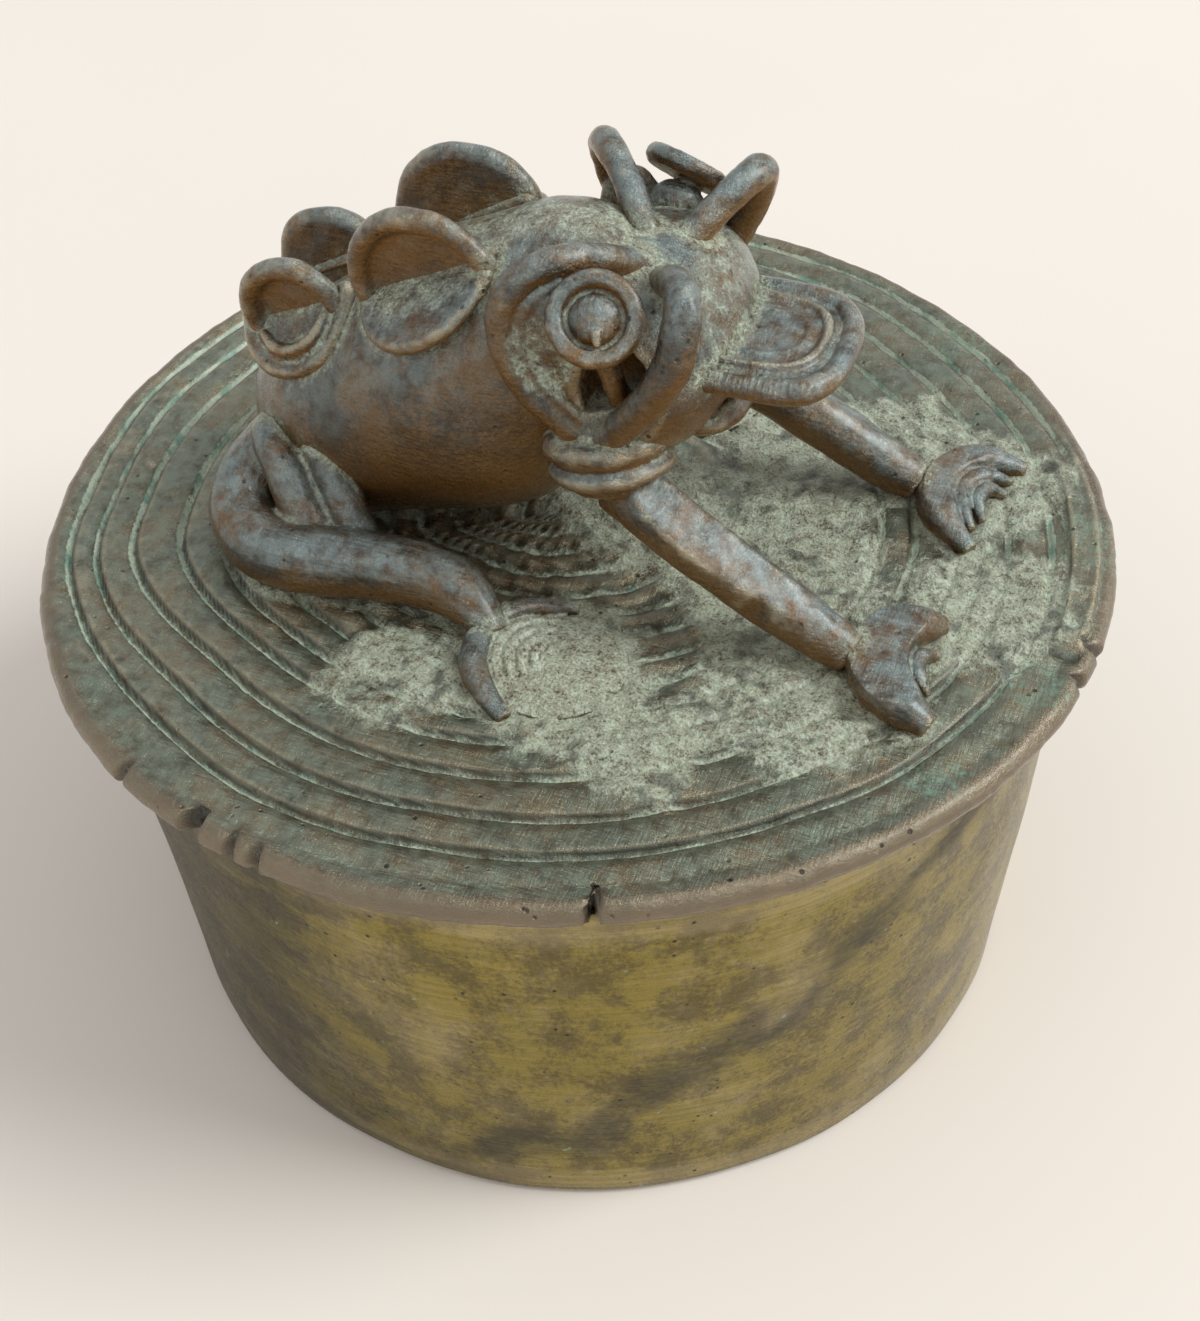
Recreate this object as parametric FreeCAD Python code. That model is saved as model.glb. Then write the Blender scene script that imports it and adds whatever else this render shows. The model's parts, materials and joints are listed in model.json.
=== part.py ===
"""A lidded cast-brass box with a frog on its lid, built up from the pieces of its wax model.

Millimetres, +Z up. The origin is the middle of the base, +X is the way the frog looks and
+Y is the frog's left. The lid, with all that sits on it, lifts off along +Z.
"""
import FreeCAD, Part
import math
import os

Vector = FreeCAD.Vector
UP = Vector(0, 0, 1)

# Box: a slightly flared cup.
box_height = 37.0
box_mouth_radius = 37.3
box_base_radius = 35.0
box_wall_thickness = 2.0
box_floor_thickness = 2.0
base_edge_bevel = 0.6

# Lid: a flat plate with a collar below and wax threads on top.
lid_radius = 40.0
lid_plate_thickness = 1.0
lid_edge_bevel = 0.3
collar_depth = 5.0
collar_thickness = 1.5
collar_clearance = 0.4
rim_thread_width = 2.2
thread_height = 0.9
thread_width = 2.9
thread_gap = 0.5
thread_shoulder_share = 0.55
thread_crown_share = 0.66
coil_eye_radius = 2.2
coil_samples = 36

# Body: neck, belly and hip balls run together on an axis that climbs to the head.
neck_forward = 4.5
neck_height = 17.8
body_pitch = 27.5
body_length = 32.6
neck_radius = 7.8
belly_radius = 10.3
hip_radius = 8.6
neck_share = 0.07
belly_share = 0.40

# Head: a barrel that lies crosswise in front of the neck, with a flat cheek at each end.
head_forward = 6.2
head_height = 17.7
head_radius = 7.5
head_side_radius = 6.9
head_half_width = 9.0
head_side_share = 0.40
socket_shares = (0.05, 1.02, 0.02)
socket_radius = 2.6

# Mouth: a tongue-shaped upper lip with a rolled rim and an inner thread, and a lower lip.
upper_lip_height = 18.6
upper_lip_reach = 20.0
upper_lip_half_width = 6.0
upper_lip_thickness = 1.0
lip_rim_radius = 1.0
lip_thread_inset = 3.2
lip_thread_radius = 0.45
lower_lip_height = 13.4
lower_lip_reach = 13.2
lower_lip_half_width = 5.2
lower_lip_radius = 1.0

# Eyes: two strands that close to a drop, and a ringed coil on a stalk between them.
strand_radius = 1.2
rear_strand_shares = [
    (-0.15, 0.24, 0.96),
    (-0.80, 0.86, 1.25),
    (-1.04, 1.02, 0.75),
    (-0.80, 1.05, 0.05),
    (-0.28, 0.98, -0.43),
]
front_strand_shares = [
    (0.20, 0.30, 0.88),
    (0.60, 0.92, 1.25),
    (0.57, 1.09, 0.65),
    (0.19, 1.06, -0.04),
    (-0.19, 0.98, -0.41),
]
eye_place_shares = (-0.15, 1.01, 0.88)
eye_lean = 45.0
eye_turn = 68.0
eye_coil_radius = 2.9
eye_coil_wire = 1.2
eye_coil_back = 0.6
eye_pellet_gap = 0.1
eye_pellet_height = 1.7
eye_stalk_radius = 0.9
eye_stalk_length = 6.0

# Plates on the back: on each side a pair at the middle and a pair at the rear, hinged like a shell.
plate_thickness = 1.1
plate_rim_width = 1.3
plate_rim_height = 0.7
plate_rim_bevel = 0.35
mid_hinge_shares = (0.3206, 0.369, 0.889)
mid_upper_radius = 5.8
mid_upper_lean = 95.0
mid_lower_radius = 5.8
mid_lower_lean = 25.0
rear_hinge_shares = (0.6936, 0.349, 1.120)
rear_upper_radius = 4.3
rear_upper_lean = 95.0
rear_lower_radius = 5.2
rear_lower_lean = 43.0

# Forelegs: a shoulder boss under each cheek, a double band round it, a tapered leg and a curled foot.
shoulder_top_shares = (-0.25, 0.70, -0.20)
shoulder_foot_shares = (-0.10, 0.84, -0.93)
shoulder_top_radius = 3.2
shoulder_foot_radius = 4.0
shoulder_foot_round = 1.2
band_width = 1.5
band_height = 0.75
band_crown_share = 0.5
band_shares = (0.52, 0.79)
foreleg_root_shares = (-0.02, 0.86, -1.02)
foreleg_top_radius = 2.2
foreleg_ankle_radius = 1.9
ankle_height = 1.6
fore_foot_forward = 29.2
fore_foot_side = 9.9
fore_foot_ring = 4.6
fore_foot_wire = 1.6
fore_foot_height = 2.3
fore_toe_ring = 2.4
fore_toe_wire = 0.8
fore_foot_sweep = 160.0

# Hind legs: a thigh of two strands against the rump, a shank bent round it and a curled foot.
thigh_radius = 1.2
thigh_shares = [(0.80, 0.62, 0.40), (0.69, 0.83, 0.33), (0.60, 1.04, 0.14)]
shank_radius = 2.45
shank_shares = [
    (0.84, 0.42, 0.42),
    (0.93, 0.90, 0.16),
    (0.79, 1.38, 0.145),
    (0.48, 1.25, 0.145),
    (0.27, 1.30, 0.145),
    (0.155, 1.40, 0.115),
]
hind_foot_forward = 3.0
hind_foot_side = 16.8
hind_foot_ring = 4.6
hind_foot_wire = 1.2
hind_toe_ring = 3.3
hind_toe_pitch = 0.8
hind_toe_wire = 0.5
hind_toe_count = 4
hind_foot_sweep = 200.0
foot_sink_share = 0.35

# Between neighbouring wax pieces, so that each stays a solid of its own.
seat_clearance = 0.05
corner_share = 0.45
cut_reach = 120.0

# Levels and axes that the sizes above set.
lid_underside = box_height
thread_seat = lid_underside + lid_plate_thickness
lid_top = thread_seat + thread_height
thread_pitch = thread_width + thread_gap
pitch_angle = math.radians(body_pitch)
neck_point = Vector(neck_forward, 0, lid_top + neck_height)
body_back = Vector(-math.cos(pitch_angle), 0, -math.sin(pitch_angle))
body_up = Vector(-math.sin(pitch_angle), 0, math.cos(pitch_angle))
head_centre = Vector(head_forward, 0, lid_top + head_height)


def largest(shape):
    return max(shape.Solids, key=lambda solid: solid.Volume)


def seated(piece, *carriers):
    """What stays of a piece outside the pieces that carry it."""
    for carrier in carriers:
        piece = piece.cut(carrier)
    return largest(piece)


def above_lid(piece):
    room = Part.makeCylinder(cut_reach, cut_reach, Vector(0, 0, lid_top))
    return largest(piece.common(room))


def turned(points, axis_point=Vector(), axis=UP, angle=360):
    """A solid turned from a closed outline of straight lines."""
    return Part.Face(Part.makePolygon(points + points[:1])).revolve(axis_point, axis, angle)


def turned_curves(curves, axis_point, axis):
    return Part.Face(Part.Wire([curve.toShape() for curve in curves])).revolve(axis_point, axis, 360)


def strung_balls(origin, along, out, balls):
    """Balls on an axis, each a distance and a radius, run together by cones that touch them all round."""
    def on_ball(ball, angle):
        distance, radius = ball
        reach = distance + radius * math.sin(angle)
        return origin + along * reach + out * (radius * math.cos(angle))

    touches = [
        math.asin((radius - next_radius) / (next_distance - distance))
        for (distance, radius), (next_distance, next_radius) in zip(balls, balls[1:])
    ]
    starts = [-math.pi / 2] + touches
    ends = touches + [math.pi / 2]
    outline = []
    for index, ball in enumerate(balls):
        start = on_ball(ball, starts[index])
        if outline:
            outline.append(Part.LineSegment(on_ball(balls[index - 1], starts[index]), start))
        middle = on_ball(ball, (starts[index] + ends[index]) / 2)
        outline.append(Part.Arc(start, middle, on_ball(ball, ends[index])))
    outline.append(Part.LineSegment(on_ball(balls[-1], ends[-1]), on_ball(balls[0], starts[0])))
    return turned_curves(outline, origin, along)


def wax_rod(route, radius):
    """A round rod along a route, its corners bent to the largest arcs that its runs allow."""
    runs = []
    start = route[0]
    for before, corner, after in zip(route, route[1:], route[2:]):
        onto = (corner - before).normalize()
        off = (after - corner).normalize()
        turn = onto.getAngle(off)
        trim = corner_share * min(before.distanceToPoint(corner), corner.distanceToPoint(after))
        axis = onto.cross(off).normalize()
        bend_start = corner - onto * trim
        bend_centre = bend_start + axis.cross(onto) * (trim / math.tan(turn / 2))
        section = Part.Face(Part.Wire(Part.Circle(bend_start, onto, radius).toShape()))
        runs.append(Part.makeCylinder(radius, start.distanceToPoint(bend_start), start, onto))
        runs.append(section.revolve(bend_centre, axis, math.degrees(turn)))
        start = corner + off * trim
    last = route[-1] - start
    runs.append(Part.makeCylinder(radius, last.Length, start, last))
    return runs[0].fuse(runs[1:])


def tapered_rod(start, end, start_radius, end_radius):
    return Part.makeCone(start_radius, end_radius, start.distanceToPoint(end), start, end - start)


def on_side(side, x, y, z):
    """A point or direction given for the frog's left: side 1 keeps it, side -1 mirrors it."""
    return Vector(x, side * y, z)


def on_head(side, shares):
    along, across, up = shares
    return head_centre + on_side(side, along * head_radius, across * head_half_width, up * head_radius)


def beside_body(side, shares):
    """A point by shares of the body's length, its girth and its height above the lid."""
    along, across, up = shares
    back = neck_point.x + body_back.x * along * body_length
    return on_side(side, back, across * belly_radius, lid_top + up * neck_height)


# Box

def outer_radius(height):
    return box_base_radius + (box_mouth_radius - box_base_radius) * height / box_height


def box_wall():
    foot_radius = outer_radius(box_floor_thickness)
    return turned([
        Vector(foot_radius, 0, box_floor_thickness),
        Vector(box_mouth_radius, 0, box_height),
        Vector(box_mouth_radius - box_wall_thickness, 0, box_height),
        Vector(foot_radius - box_wall_thickness, 0, box_floor_thickness),
    ])


def box_floor():
    return turned([
        Vector(0, 0, 0),
        Vector(box_base_radius - base_edge_bevel, 0, 0),
        Vector(outer_radius(base_edge_bevel), 0, base_edge_bevel),
        Vector(outer_radius(box_floor_thickness), 0, box_floor_thickness),
        Vector(0, 0, box_floor_thickness),
    ])


# Lid

def lid_plate():
    return turned([
        Vector(0, 0, lid_underside),
        Vector(lid_radius - lid_edge_bevel, 0, lid_underside),
        Vector(lid_radius, 0, lid_underside + lid_edge_bevel),
        Vector(lid_radius, 0, thread_seat),
        Vector(0, 0, thread_seat),
    ])


def lid_collar():
    collar_foot = lid_underside - collar_depth
    radius = outer_radius(collar_foot) - box_wall_thickness - collar_clearance
    return turned([
        Vector(radius - collar_thickness, 0, collar_foot),
        Vector(radius, 0, collar_foot),
        Vector(radius, 0, lid_underside),
        Vector(radius - collar_thickness, 0, lid_underside),
    ])


def thread_profile(centre, width):
    """The flattened section of a thread that stands on the plate at a distance from the axis."""
    shoulder = thread_seat + thread_shoulder_share * thread_height
    crown = thread_crown_share * width
    return [
        Vector(centre - width / 2, 0, thread_seat),
        Vector(centre - width / 2, 0, shoulder),
        Vector(centre - crown / 2, 0, lid_top),
        Vector(centre + crown / 2, 0, lid_top),
        Vector(centre + width / 2, 0, shoulder),
        Vector(centre + width / 2, 0, thread_seat),
    ]


def rim_thread():
    return turned(thread_profile(lid_radius - rim_thread_width / 2, rim_thread_width))


def half_turns():
    """The coil's half turns from the outside in: which side each starts on, its centre and its radius."""
    step = thread_pitch / 4
    way = -1
    radius = lid_radius - rim_thread_width - thread_gap - thread_width / 2 - step
    while radius > coil_eye_radius:
        yield way, Vector(way * step, 0, 0), radius
        way = -way
        radius -= thread_pitch / 2


def coil_thread():
    """One thread wound inwards about two centres, so that each half turn runs on from the last."""
    turns = []
    for way, centre, radius in half_turns():
        profile = [centre + Vector(way * p.x, 0, p.z) for p in thread_profile(radius, thread_width)]
        turns.append(turned(profile, centre, UP, 180))
    return turns[0].fuse(turns[1:])


def coil_gap():
    """The least gap of the thread to itself, measured on points of its middle line."""
    points = []
    for way, centre, radius in half_turns():
        for index in range(coil_samples):
            angle = math.pi * index / coil_samples
            points.append(centre + Vector(math.cos(angle), math.sin(angle), 0) * (way * radius))
    pairs = ((p, q) for index, p in enumerate(points) for q in points[index + coil_samples:])
    return min(p.distanceToPoint(q) for p, q in pairs) - thread_width


# Frog's body and head

def frog_body(grow=0):
    balls = [
        (neck_share * body_length, neck_radius + grow),
        (belly_share * body_length, belly_radius + grow),
        (body_length - hip_radius, hip_radius + grow),
    ]
    return above_lid(strung_balls(neck_point, body_back, body_up, balls))


def frog_head(grow=0):
    """The barrel, cut flat at the cheeks, with a hollow in each below the eye."""
    crosswise = Vector(0, 1, 0)
    side = head_side_share * head_half_width
    half_width = head_half_width + grow
    balls = [(-side, head_side_radius + grow), (0, head_radius + grow), (side, head_side_radius + grow)]
    room = Part.makeCylinder(cut_reach, 2 * half_width, head_centre - crosswise * half_width, crosswise)
    head = strung_balls(head_centre, crosswise, UP, balls).common(room)
    for way in (1, -1):
        head = head.cut(Part.makeSphere(socket_radius - grow, on_head(way, socket_shares)))
    return head


# Mouth

def lip_route(height, reach, half_width):
    """A U that opens backwards into the head."""
    level = lid_top + height
    return [
        Vector(head_forward, -half_width, level),
        Vector(reach, -half_width, level),
        Vector(reach, half_width, level),
        Vector(head_forward, half_width, level),
    ]


def upper_lip_rim(grow=0):
    inset = lip_rim_radius
    route = lip_route(upper_lip_height, upper_lip_reach - inset, upper_lip_half_width - inset)
    return wax_rod(route, lip_rim_radius + grow)


def upper_lip():
    length = upper_lip_reach - lip_rim_radius - head_forward
    half_width = upper_lip_half_width - lip_rim_radius
    corner = Vector(head_forward, -half_width, lid_top + upper_lip_height - upper_lip_thickness / 2)
    plate = Part.makeBox(length, 2 * half_width, upper_lip_thickness, corner)
    edges = [edge for edge in plate.Edges if edge.BoundBox.XMin > head_forward]
    front = [edge for edge in edges if edge.BoundBox.YLength < edge.BoundBox.ZLength]
    return plate.makeFillet(2 * corner_share * half_width, front)


def lip_thread():
    height = upper_lip_height + upper_lip_thickness / 2 + lip_thread_radius
    inset = lip_thread_inset
    return wax_rod(
        lip_route(height, upper_lip_reach - inset, upper_lip_half_width - inset), lip_thread_radius
    )


def lower_lip():
    reach = lower_lip_reach - lower_lip_radius
    return wax_rod(lip_route(lower_lip_height, reach, lower_lip_half_width), lower_lip_radius)


# Eyes

def eye_frame(side):
    lean = math.radians(eye_lean)
    turn = math.radians(eye_turn)
    axis = on_side(side, math.sin(lean) * math.cos(turn), math.sin(lean) * math.sin(turn), math.cos(lean))
    return FreeCAD.Placement(on_head(side, eye_place_shares), FreeCAD.Rotation(UP, axis))


def eye_coil(side):
    bevel = eye_coil_back / 2
    rim_top = eye_coil_back + eye_coil_wire
    inside = eye_coil_radius - eye_coil_wire
    dish = turned([
        Vector(0, 0, 0),
        Vector(eye_coil_radius - bevel, 0, 0),
        Vector(eye_coil_radius, 0, bevel),
        Vector(eye_coil_radius, 0, rim_top - bevel),
        Vector(eye_coil_radius - bevel, 0, rim_top),
        Vector(inside + bevel, 0, rim_top),
        Vector(inside, 0, rim_top - bevel),
        Vector(inside, 0, eye_coil_back),
        Vector(0, 0, eye_coil_back),
    ])
    dish.Placement = eye_frame(side)
    return dish


def eye_pellet(side):
    """A domed pellet on the floor of the ring."""
    radius = eye_coil_radius - eye_coil_wire - eye_pellet_gap
    spring = eye_coil_back + eye_pellet_height - radius
    base = Vector(0, 0, eye_coil_back)
    crown = Vector(0, 0, eye_coil_back + eye_pellet_height)
    edge = Vector(radius, 0, spring)
    bulge = Vector(radius * math.sin(math.pi / 4), 0, spring + radius * math.cos(math.pi / 4))
    outline = [
        Part.LineSegment(crown, base),
        Part.LineSegment(base, base + Vector(radius, 0, 0)),
        Part.LineSegment(base + Vector(radius, 0, 0), edge),
        Part.Arc(edge, bulge, crown),
    ]
    dome = turned_curves(outline, base, UP)
    dome.Placement = eye_frame(side)
    return dome


def eye_stalk(side):
    stalk = Part.makeCylinder(eye_stalk_radius, eye_stalk_length, Vector(0, 0, -eye_stalk_length))
    stalk.Placement = eye_frame(side)
    return stalk


def eye_strand(side, shares, grow=0):
    return wax_rod([on_head(side, place) for place in shares], strand_radius + grow)


# Plates on the back

def above_body(side, shares, girth):
    """A point by shares of the body's length and, across and up from its axis, of its girth there."""
    along, across, up = shares
    middle = neck_point + body_back * (along * body_length) + body_up * (up * girth)
    return middle + on_side(side, 0, across * girth, 0)


def plate_frame(side, hinge, lean, along):
    """Set on a hinge point: Z square to the plate, Y down and out from the hinge."""
    angle = math.radians(lean)
    side_way = Vector(0, side, 0)
    square = along * math.cos(angle) + side_way * math.sin(angle)
    out = side_way * math.cos(angle) - along * math.sin(angle)
    return FreeCAD.Placement(hinge, FreeCAD.Rotation(out.cross(square), out, square, "ZYX"))


def upper_plate(frame, radius, grow=0):
    """A pressed disc whose rim stands up round its outer face."""
    back = -plate_thickness / 2 - grow
    face = plate_thickness / 2 + grow
    crest = face + plate_rim_height
    edge = radius + grow
    inside = radius - plate_rim_width - grow
    plate = turned([
        Vector(0, 0, back),
        Vector(edge, 0, back),
        Vector(edge, 0, crest - plate_rim_bevel),
        Vector(edge - plate_rim_bevel, 0, crest),
        Vector(inside, 0, crest),
        Vector(inside, 0, face),
        Vector(0, 0, face),
    ])
    plate.Placement = frame
    return plate


def lower_plate(frame, radius):
    plate = Part.makeCylinder(radius, plate_thickness, Vector(0, 0, -plate_thickness / 2), UP, 180)
    plate.Placement = frame
    return plate


# Legs and feet

def shoulder(side, grow=0):
    top = on_head(side, shoulder_top_shares)
    foot = on_head(side, shoulder_foot_shares)
    end = foot + (foot - top).normalize() * grow
    boss = tapered_rod(top, end, shoulder_top_radius + grow, shoulder_foot_radius + grow)
    lower_rim = min(boss.Edges, key=lambda edge: edge.CenterOfMass.z)
    return boss.makeFillet(shoulder_foot_round + grow, [lower_rim])


def shoulder_band(side, share):
    """A thread of half-round section laid round the boss."""
    top = on_head(side, shoulder_top_shares)
    foot = on_head(side, shoulder_foot_shares)
    length = top.distanceToPoint(foot)
    slope = (shoulder_foot_radius - shoulder_top_radius) / length
    crown = band_crown_share * band_width

    def edge(offset, out):
        height = share * length + offset
        return Vector(shoulder_top_radius + slope * height + seat_clearance + out, 0, height)

    ring = turned([
        edge(-band_width / 2, 0),
        edge(band_width / 2, 0),
        edge(crown / 2, band_height),
        edge(-crown / 2, band_height),
    ])
    ring.Placement = FreeCAD.Placement(top, FreeCAD.Rotation(UP, foot - top))
    return ring


def ankle(side):
    """Where the foreleg meets the outer edge of its foot."""
    forward = fore_foot_forward - fore_foot_ring - fore_foot_wire
    return on_side(side, forward, fore_foot_side, lid_top + ankle_height)


def foreleg(side):
    root = on_head(side, foreleg_root_shares)
    return tapered_rod(root, ankle(side), foreleg_top_radius, foreleg_ankle_radius)


def curled_strand(centre, ring, wire, sweep):
    """A strand curled round a centre on the lid, open to the front."""
    level = lid_top + wire * (1 - foot_sink_share)
    start = FreeCAD.Rotation(UP, 180 - sweep / 2).multVec(Vector(ring, 0, 0))
    middle = Vector(centre.x, centre.y, level)
    section = Part.Face(Part.Wire(Part.Circle(middle + start, UP.cross(start), wire).toShape()))
    return section.revolve(middle, UP, sweep)


def foot(centre, strands, sweep, grow=0):
    pieces = [curled_strand(centre, ring, wire + grow, sweep) for ring, wire in strands]
    return above_lid(pieces[0].fuse(pieces[1:]))


def fore_foot(side, grow=0):
    """Two curled strands, hammered flat on top."""
    strands = [(fore_foot_ring, fore_foot_wire), (fore_toe_ring, fore_toe_wire)]
    curled = foot(on_side(side, fore_foot_forward, fore_foot_side, 0), strands, fore_foot_sweep, grow)
    room = Part.makeCylinder(cut_reach, fore_foot_height + grow, Vector(0, 0, lid_top))
    return largest(curled.common(room))


def hind_foot(side, grow=0):
    """A thick strand curled round a nest of thin ones."""
    strands = [(hind_foot_ring, hind_foot_wire)]
    for index in range(hind_toe_count):
        strands.append((hind_toe_ring - index * hind_toe_pitch, hind_toe_wire))
    return foot(on_side(side, hind_foot_forward, hind_foot_side, 0), strands, hind_foot_sweep, grow)


def thigh_strands(side):
    """Two strands laid side by side."""
    route = [beside_body(side, place) for place in thigh_shares]
    apart = UP.cross(route[-1] - route[0]).normalize() * (2 * thigh_radius + seat_clearance)
    inner = wax_rod([place - apart / 2 for place in route], thigh_radius)
    outer = wax_rod([place + apart / 2 for place in route], thigh_radius)
    return [inner, outer]


def shank(side, grow=0):
    return wax_rod([beside_body(side, place) for place in shank_shares], shank_radius + grow)


def eye_pieces(side, head, body):
    rear = eye_strand(side, rear_strand_shares, seat_clearance)
    boss = shoulder(side, seat_clearance)
    return {
        "eye_rear_strand": seated(eye_strand(side, rear_strand_shares), head, body, boss),
        "eye_front_strand": seated(eye_strand(side, front_strand_shares), head, body, boss, rear),
        "eye_coil": eye_coil(side),
        "eye_pellet": eye_pellet(side),
        "eye_stalk": seated(eye_stalk(side), head),
    }


def plate_pieces(side, body):
    pieces = {}
    carriers = [body]
    pairs = {
        "mid": (
            above_body(side, mid_hinge_shares, belly_radius),
            (mid_upper_radius, mid_upper_lean, mid_lower_radius, mid_lower_lean),
        ),
        "rear": (
            above_body(side, rear_hinge_shares, hip_radius),
            (rear_upper_radius, rear_upper_lean, rear_lower_radius, rear_lower_lean),
        ),
    }
    for name, (hinge, (upper_radius, upper_lean, lower_radius, lower_lean)) in pairs.items():
        upper_frame = plate_frame(side, hinge, upper_lean, UP)
        lower_frame = plate_frame(side, hinge, lower_lean, body_up)
        pieces[name + "_upper_plate"] = seated(upper_plate(upper_frame, upper_radius), *carriers)
        carriers.append(upper_plate(upper_frame, upper_radius, seat_clearance))
        pieces[name + "_lower_plate"] = seated(lower_plate(lower_frame, lower_radius), *carriers)
    return pieces


def leg_pieces(side, head, body):
    boss = shoulder(side, seat_clearance)
    leg = foreleg(side)
    rear_strand = eye_strand(side, rear_strand_shares, seat_clearance)
    front_strand = eye_strand(side, front_strand_shares, seat_clearance)
    bands = [
        seated(shoulder_band(side, share), head, body, leg, rear_strand, front_strand)
        for share in band_shares
    ]
    outer_shank = shank(side, seat_clearance)
    strands = [above_lid(seated(strand, body, outer_shank)) for strand in thigh_strands(side)]
    return {
        "shoulder": seated(shoulder(side), head, body),
        "shoulder_bands": Part.makeCompound(bands),
        "foreleg": above_lid(seated(leg, boss, head, body, fore_foot(side, seat_clearance))),
        "fore_foot": fore_foot(side),
        "hind_shank": above_lid(seated(shank(side), body, hind_foot(side, seat_clearance))),
        "hind_thigh": Part.makeCompound(strands),
        "hind_foot": hind_foot(side),
    }


def frog():
    body = frog_body(seat_clearance)
    head = frog_head(seat_clearance)
    pieces = {
        "frog_body": seated(frog_body(), head),
        "frog_head": frog_head(),
        "upper_lip_rim": seated(upper_lip_rim(), head),
        "upper_lip": seated(upper_lip(), head, upper_lip_rim(seat_clearance)),
        "lip_thread": seated(lip_thread(), head),
        "lower_lip": seated(lower_lip(), head, body),
    }
    for name, side in (("left", 1), ("right", -1)):
        pairs = {**eye_pieces(side, head, body), **plate_pieces(side, body), **leg_pieces(side, head, body)}
        pieces.update({name + "_" + piece: shape for piece, shape in pairs.items()})
    return pieces


def box_and_lid():
    return {
        "box_wall": box_wall(),
        "box_floor": box_floor(),
        "lid_plate": lid_plate(),
        "lid_collar": lid_collar(),
        "rim_thread": rim_thread(),
        "coil_thread": coil_thread(),
    }


os.makedirs("parts", exist_ok=True)
print("least gap of the coiled thread to itself: %.2f mm" % coil_gap())
for node, shape in {**box_and_lid(), **frog()}.items():
    shape.exportStep("parts/" + node + ".step")
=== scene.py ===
import json
import math

import bpy
import numpy as np
from mathutils import Matrix, Vector, noise
from mathutils.bvhtree import BVHTree

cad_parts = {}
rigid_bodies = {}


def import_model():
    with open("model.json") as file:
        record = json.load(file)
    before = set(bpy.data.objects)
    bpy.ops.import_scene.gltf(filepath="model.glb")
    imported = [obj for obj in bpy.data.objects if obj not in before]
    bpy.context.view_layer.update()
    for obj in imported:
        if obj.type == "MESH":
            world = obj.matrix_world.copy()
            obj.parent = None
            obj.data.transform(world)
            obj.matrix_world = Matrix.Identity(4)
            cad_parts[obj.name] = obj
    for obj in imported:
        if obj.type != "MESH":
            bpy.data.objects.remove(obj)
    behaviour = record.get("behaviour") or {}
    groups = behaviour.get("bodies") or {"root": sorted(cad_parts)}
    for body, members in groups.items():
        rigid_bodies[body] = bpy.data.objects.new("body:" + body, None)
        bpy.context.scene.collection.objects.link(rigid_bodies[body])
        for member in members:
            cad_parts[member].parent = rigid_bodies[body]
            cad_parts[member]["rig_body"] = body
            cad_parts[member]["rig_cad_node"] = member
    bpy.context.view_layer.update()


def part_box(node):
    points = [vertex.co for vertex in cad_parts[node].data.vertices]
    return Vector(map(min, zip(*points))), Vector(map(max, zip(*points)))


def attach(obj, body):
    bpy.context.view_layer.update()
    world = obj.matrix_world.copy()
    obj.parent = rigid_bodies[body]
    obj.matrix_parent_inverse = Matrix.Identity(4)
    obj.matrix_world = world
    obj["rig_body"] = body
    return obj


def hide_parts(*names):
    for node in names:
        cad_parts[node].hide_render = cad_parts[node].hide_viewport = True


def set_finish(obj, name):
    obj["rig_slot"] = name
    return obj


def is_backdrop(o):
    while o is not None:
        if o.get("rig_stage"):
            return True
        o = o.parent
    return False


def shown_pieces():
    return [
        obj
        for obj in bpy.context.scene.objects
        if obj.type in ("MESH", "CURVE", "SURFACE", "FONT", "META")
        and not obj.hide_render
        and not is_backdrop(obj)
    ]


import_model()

bl_info = {
    "name": "Frog Box",
    "version": (1, 0, 0),
    "blender": (4, 5, 0),
    "location": "View3D > Sidebar > Frog Box",
    "description": "Dresses a lost-wax cast box and the frog on its lid",
    "category": "Add Mesh",
}

MM = 0.001
UP = Vector((0, 0, 1))


def node_mm(node):
    """The lowest and highest corner of a CAD node, in millimetres."""
    low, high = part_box(node)
    return low / MM, high / MM


# Levels and sizes that the frame gives, in millimetres.
LID_UNDER = node_mm("lid_plate")[0].z
LID_TOP = node_mm("coil_thread")[1].z
LID_RADIUS = node_mm("lid_plate")[1].x
CUP_MOUTH = node_mm("box_wall")[1]
CUP_FLOOR = node_mm("box_floor")[1]
COLLAR_LOW, COLLAR_HIGH = node_mm("lid_collar")
HEAD_LOW, HEAD_HIGH = node_mm("frog_head")
HEAD_RADIUS = (HEAD_HIGH.z - HEAD_LOW.z) / 2
HEAD_HALF_WIDTH = HEAD_HIGH.y
HEAD_CENTRE = Vector((HEAD_HIGH.x - HEAD_RADIUS, 0, HEAD_LOW.z + HEAD_RADIUS))
LIP_LOW, LIP_HIGH = node_mm("upper_lip_rim")
SIDES = (("left", 1), ("right", -1))


def linear(red, green, blue):
    """A colour written in screen values of 0 to 255, as Blender mixes it."""
    def channel(value):
        share = value / 255
        return share / 12.92 if share <= 0.04045 else ((share + 0.055) / 1.055) ** 2.4
    return channel(red), channel(green), channel(blue)


def length(name, description, millimetres):
    return bpy.props.FloatProperty(
        name=name, description=description, default=millimetres * MM,
        min=0, precision=5, subtype="DISTANCE", unit="LENGTH",
    )


def share(name, description, default):
    return bpy.props.FloatProperty(
        name=name, description=description, default=default, min=0, max=1, subtype="FACTOR"
    )


def colour(name, description, red, green, blue):
    return bpy.props.FloatVectorProperty(
        name=name, description=description, default=linear(red, green, blue),
        min=0, max=1, size=3, subtype="COLOR",
    )


class FrogBoxCup(bpy.types.PropertyGroup):
    """Sizes of the cup."""

    wall: length("Wall", "Thickness of the cup's wall", 2.0)
    bevel: length("Base bevel", "Worn edge round the base", 0.6)
    dents: length("Dents", "Height of the broad dents in the wall", 0.22)


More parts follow.
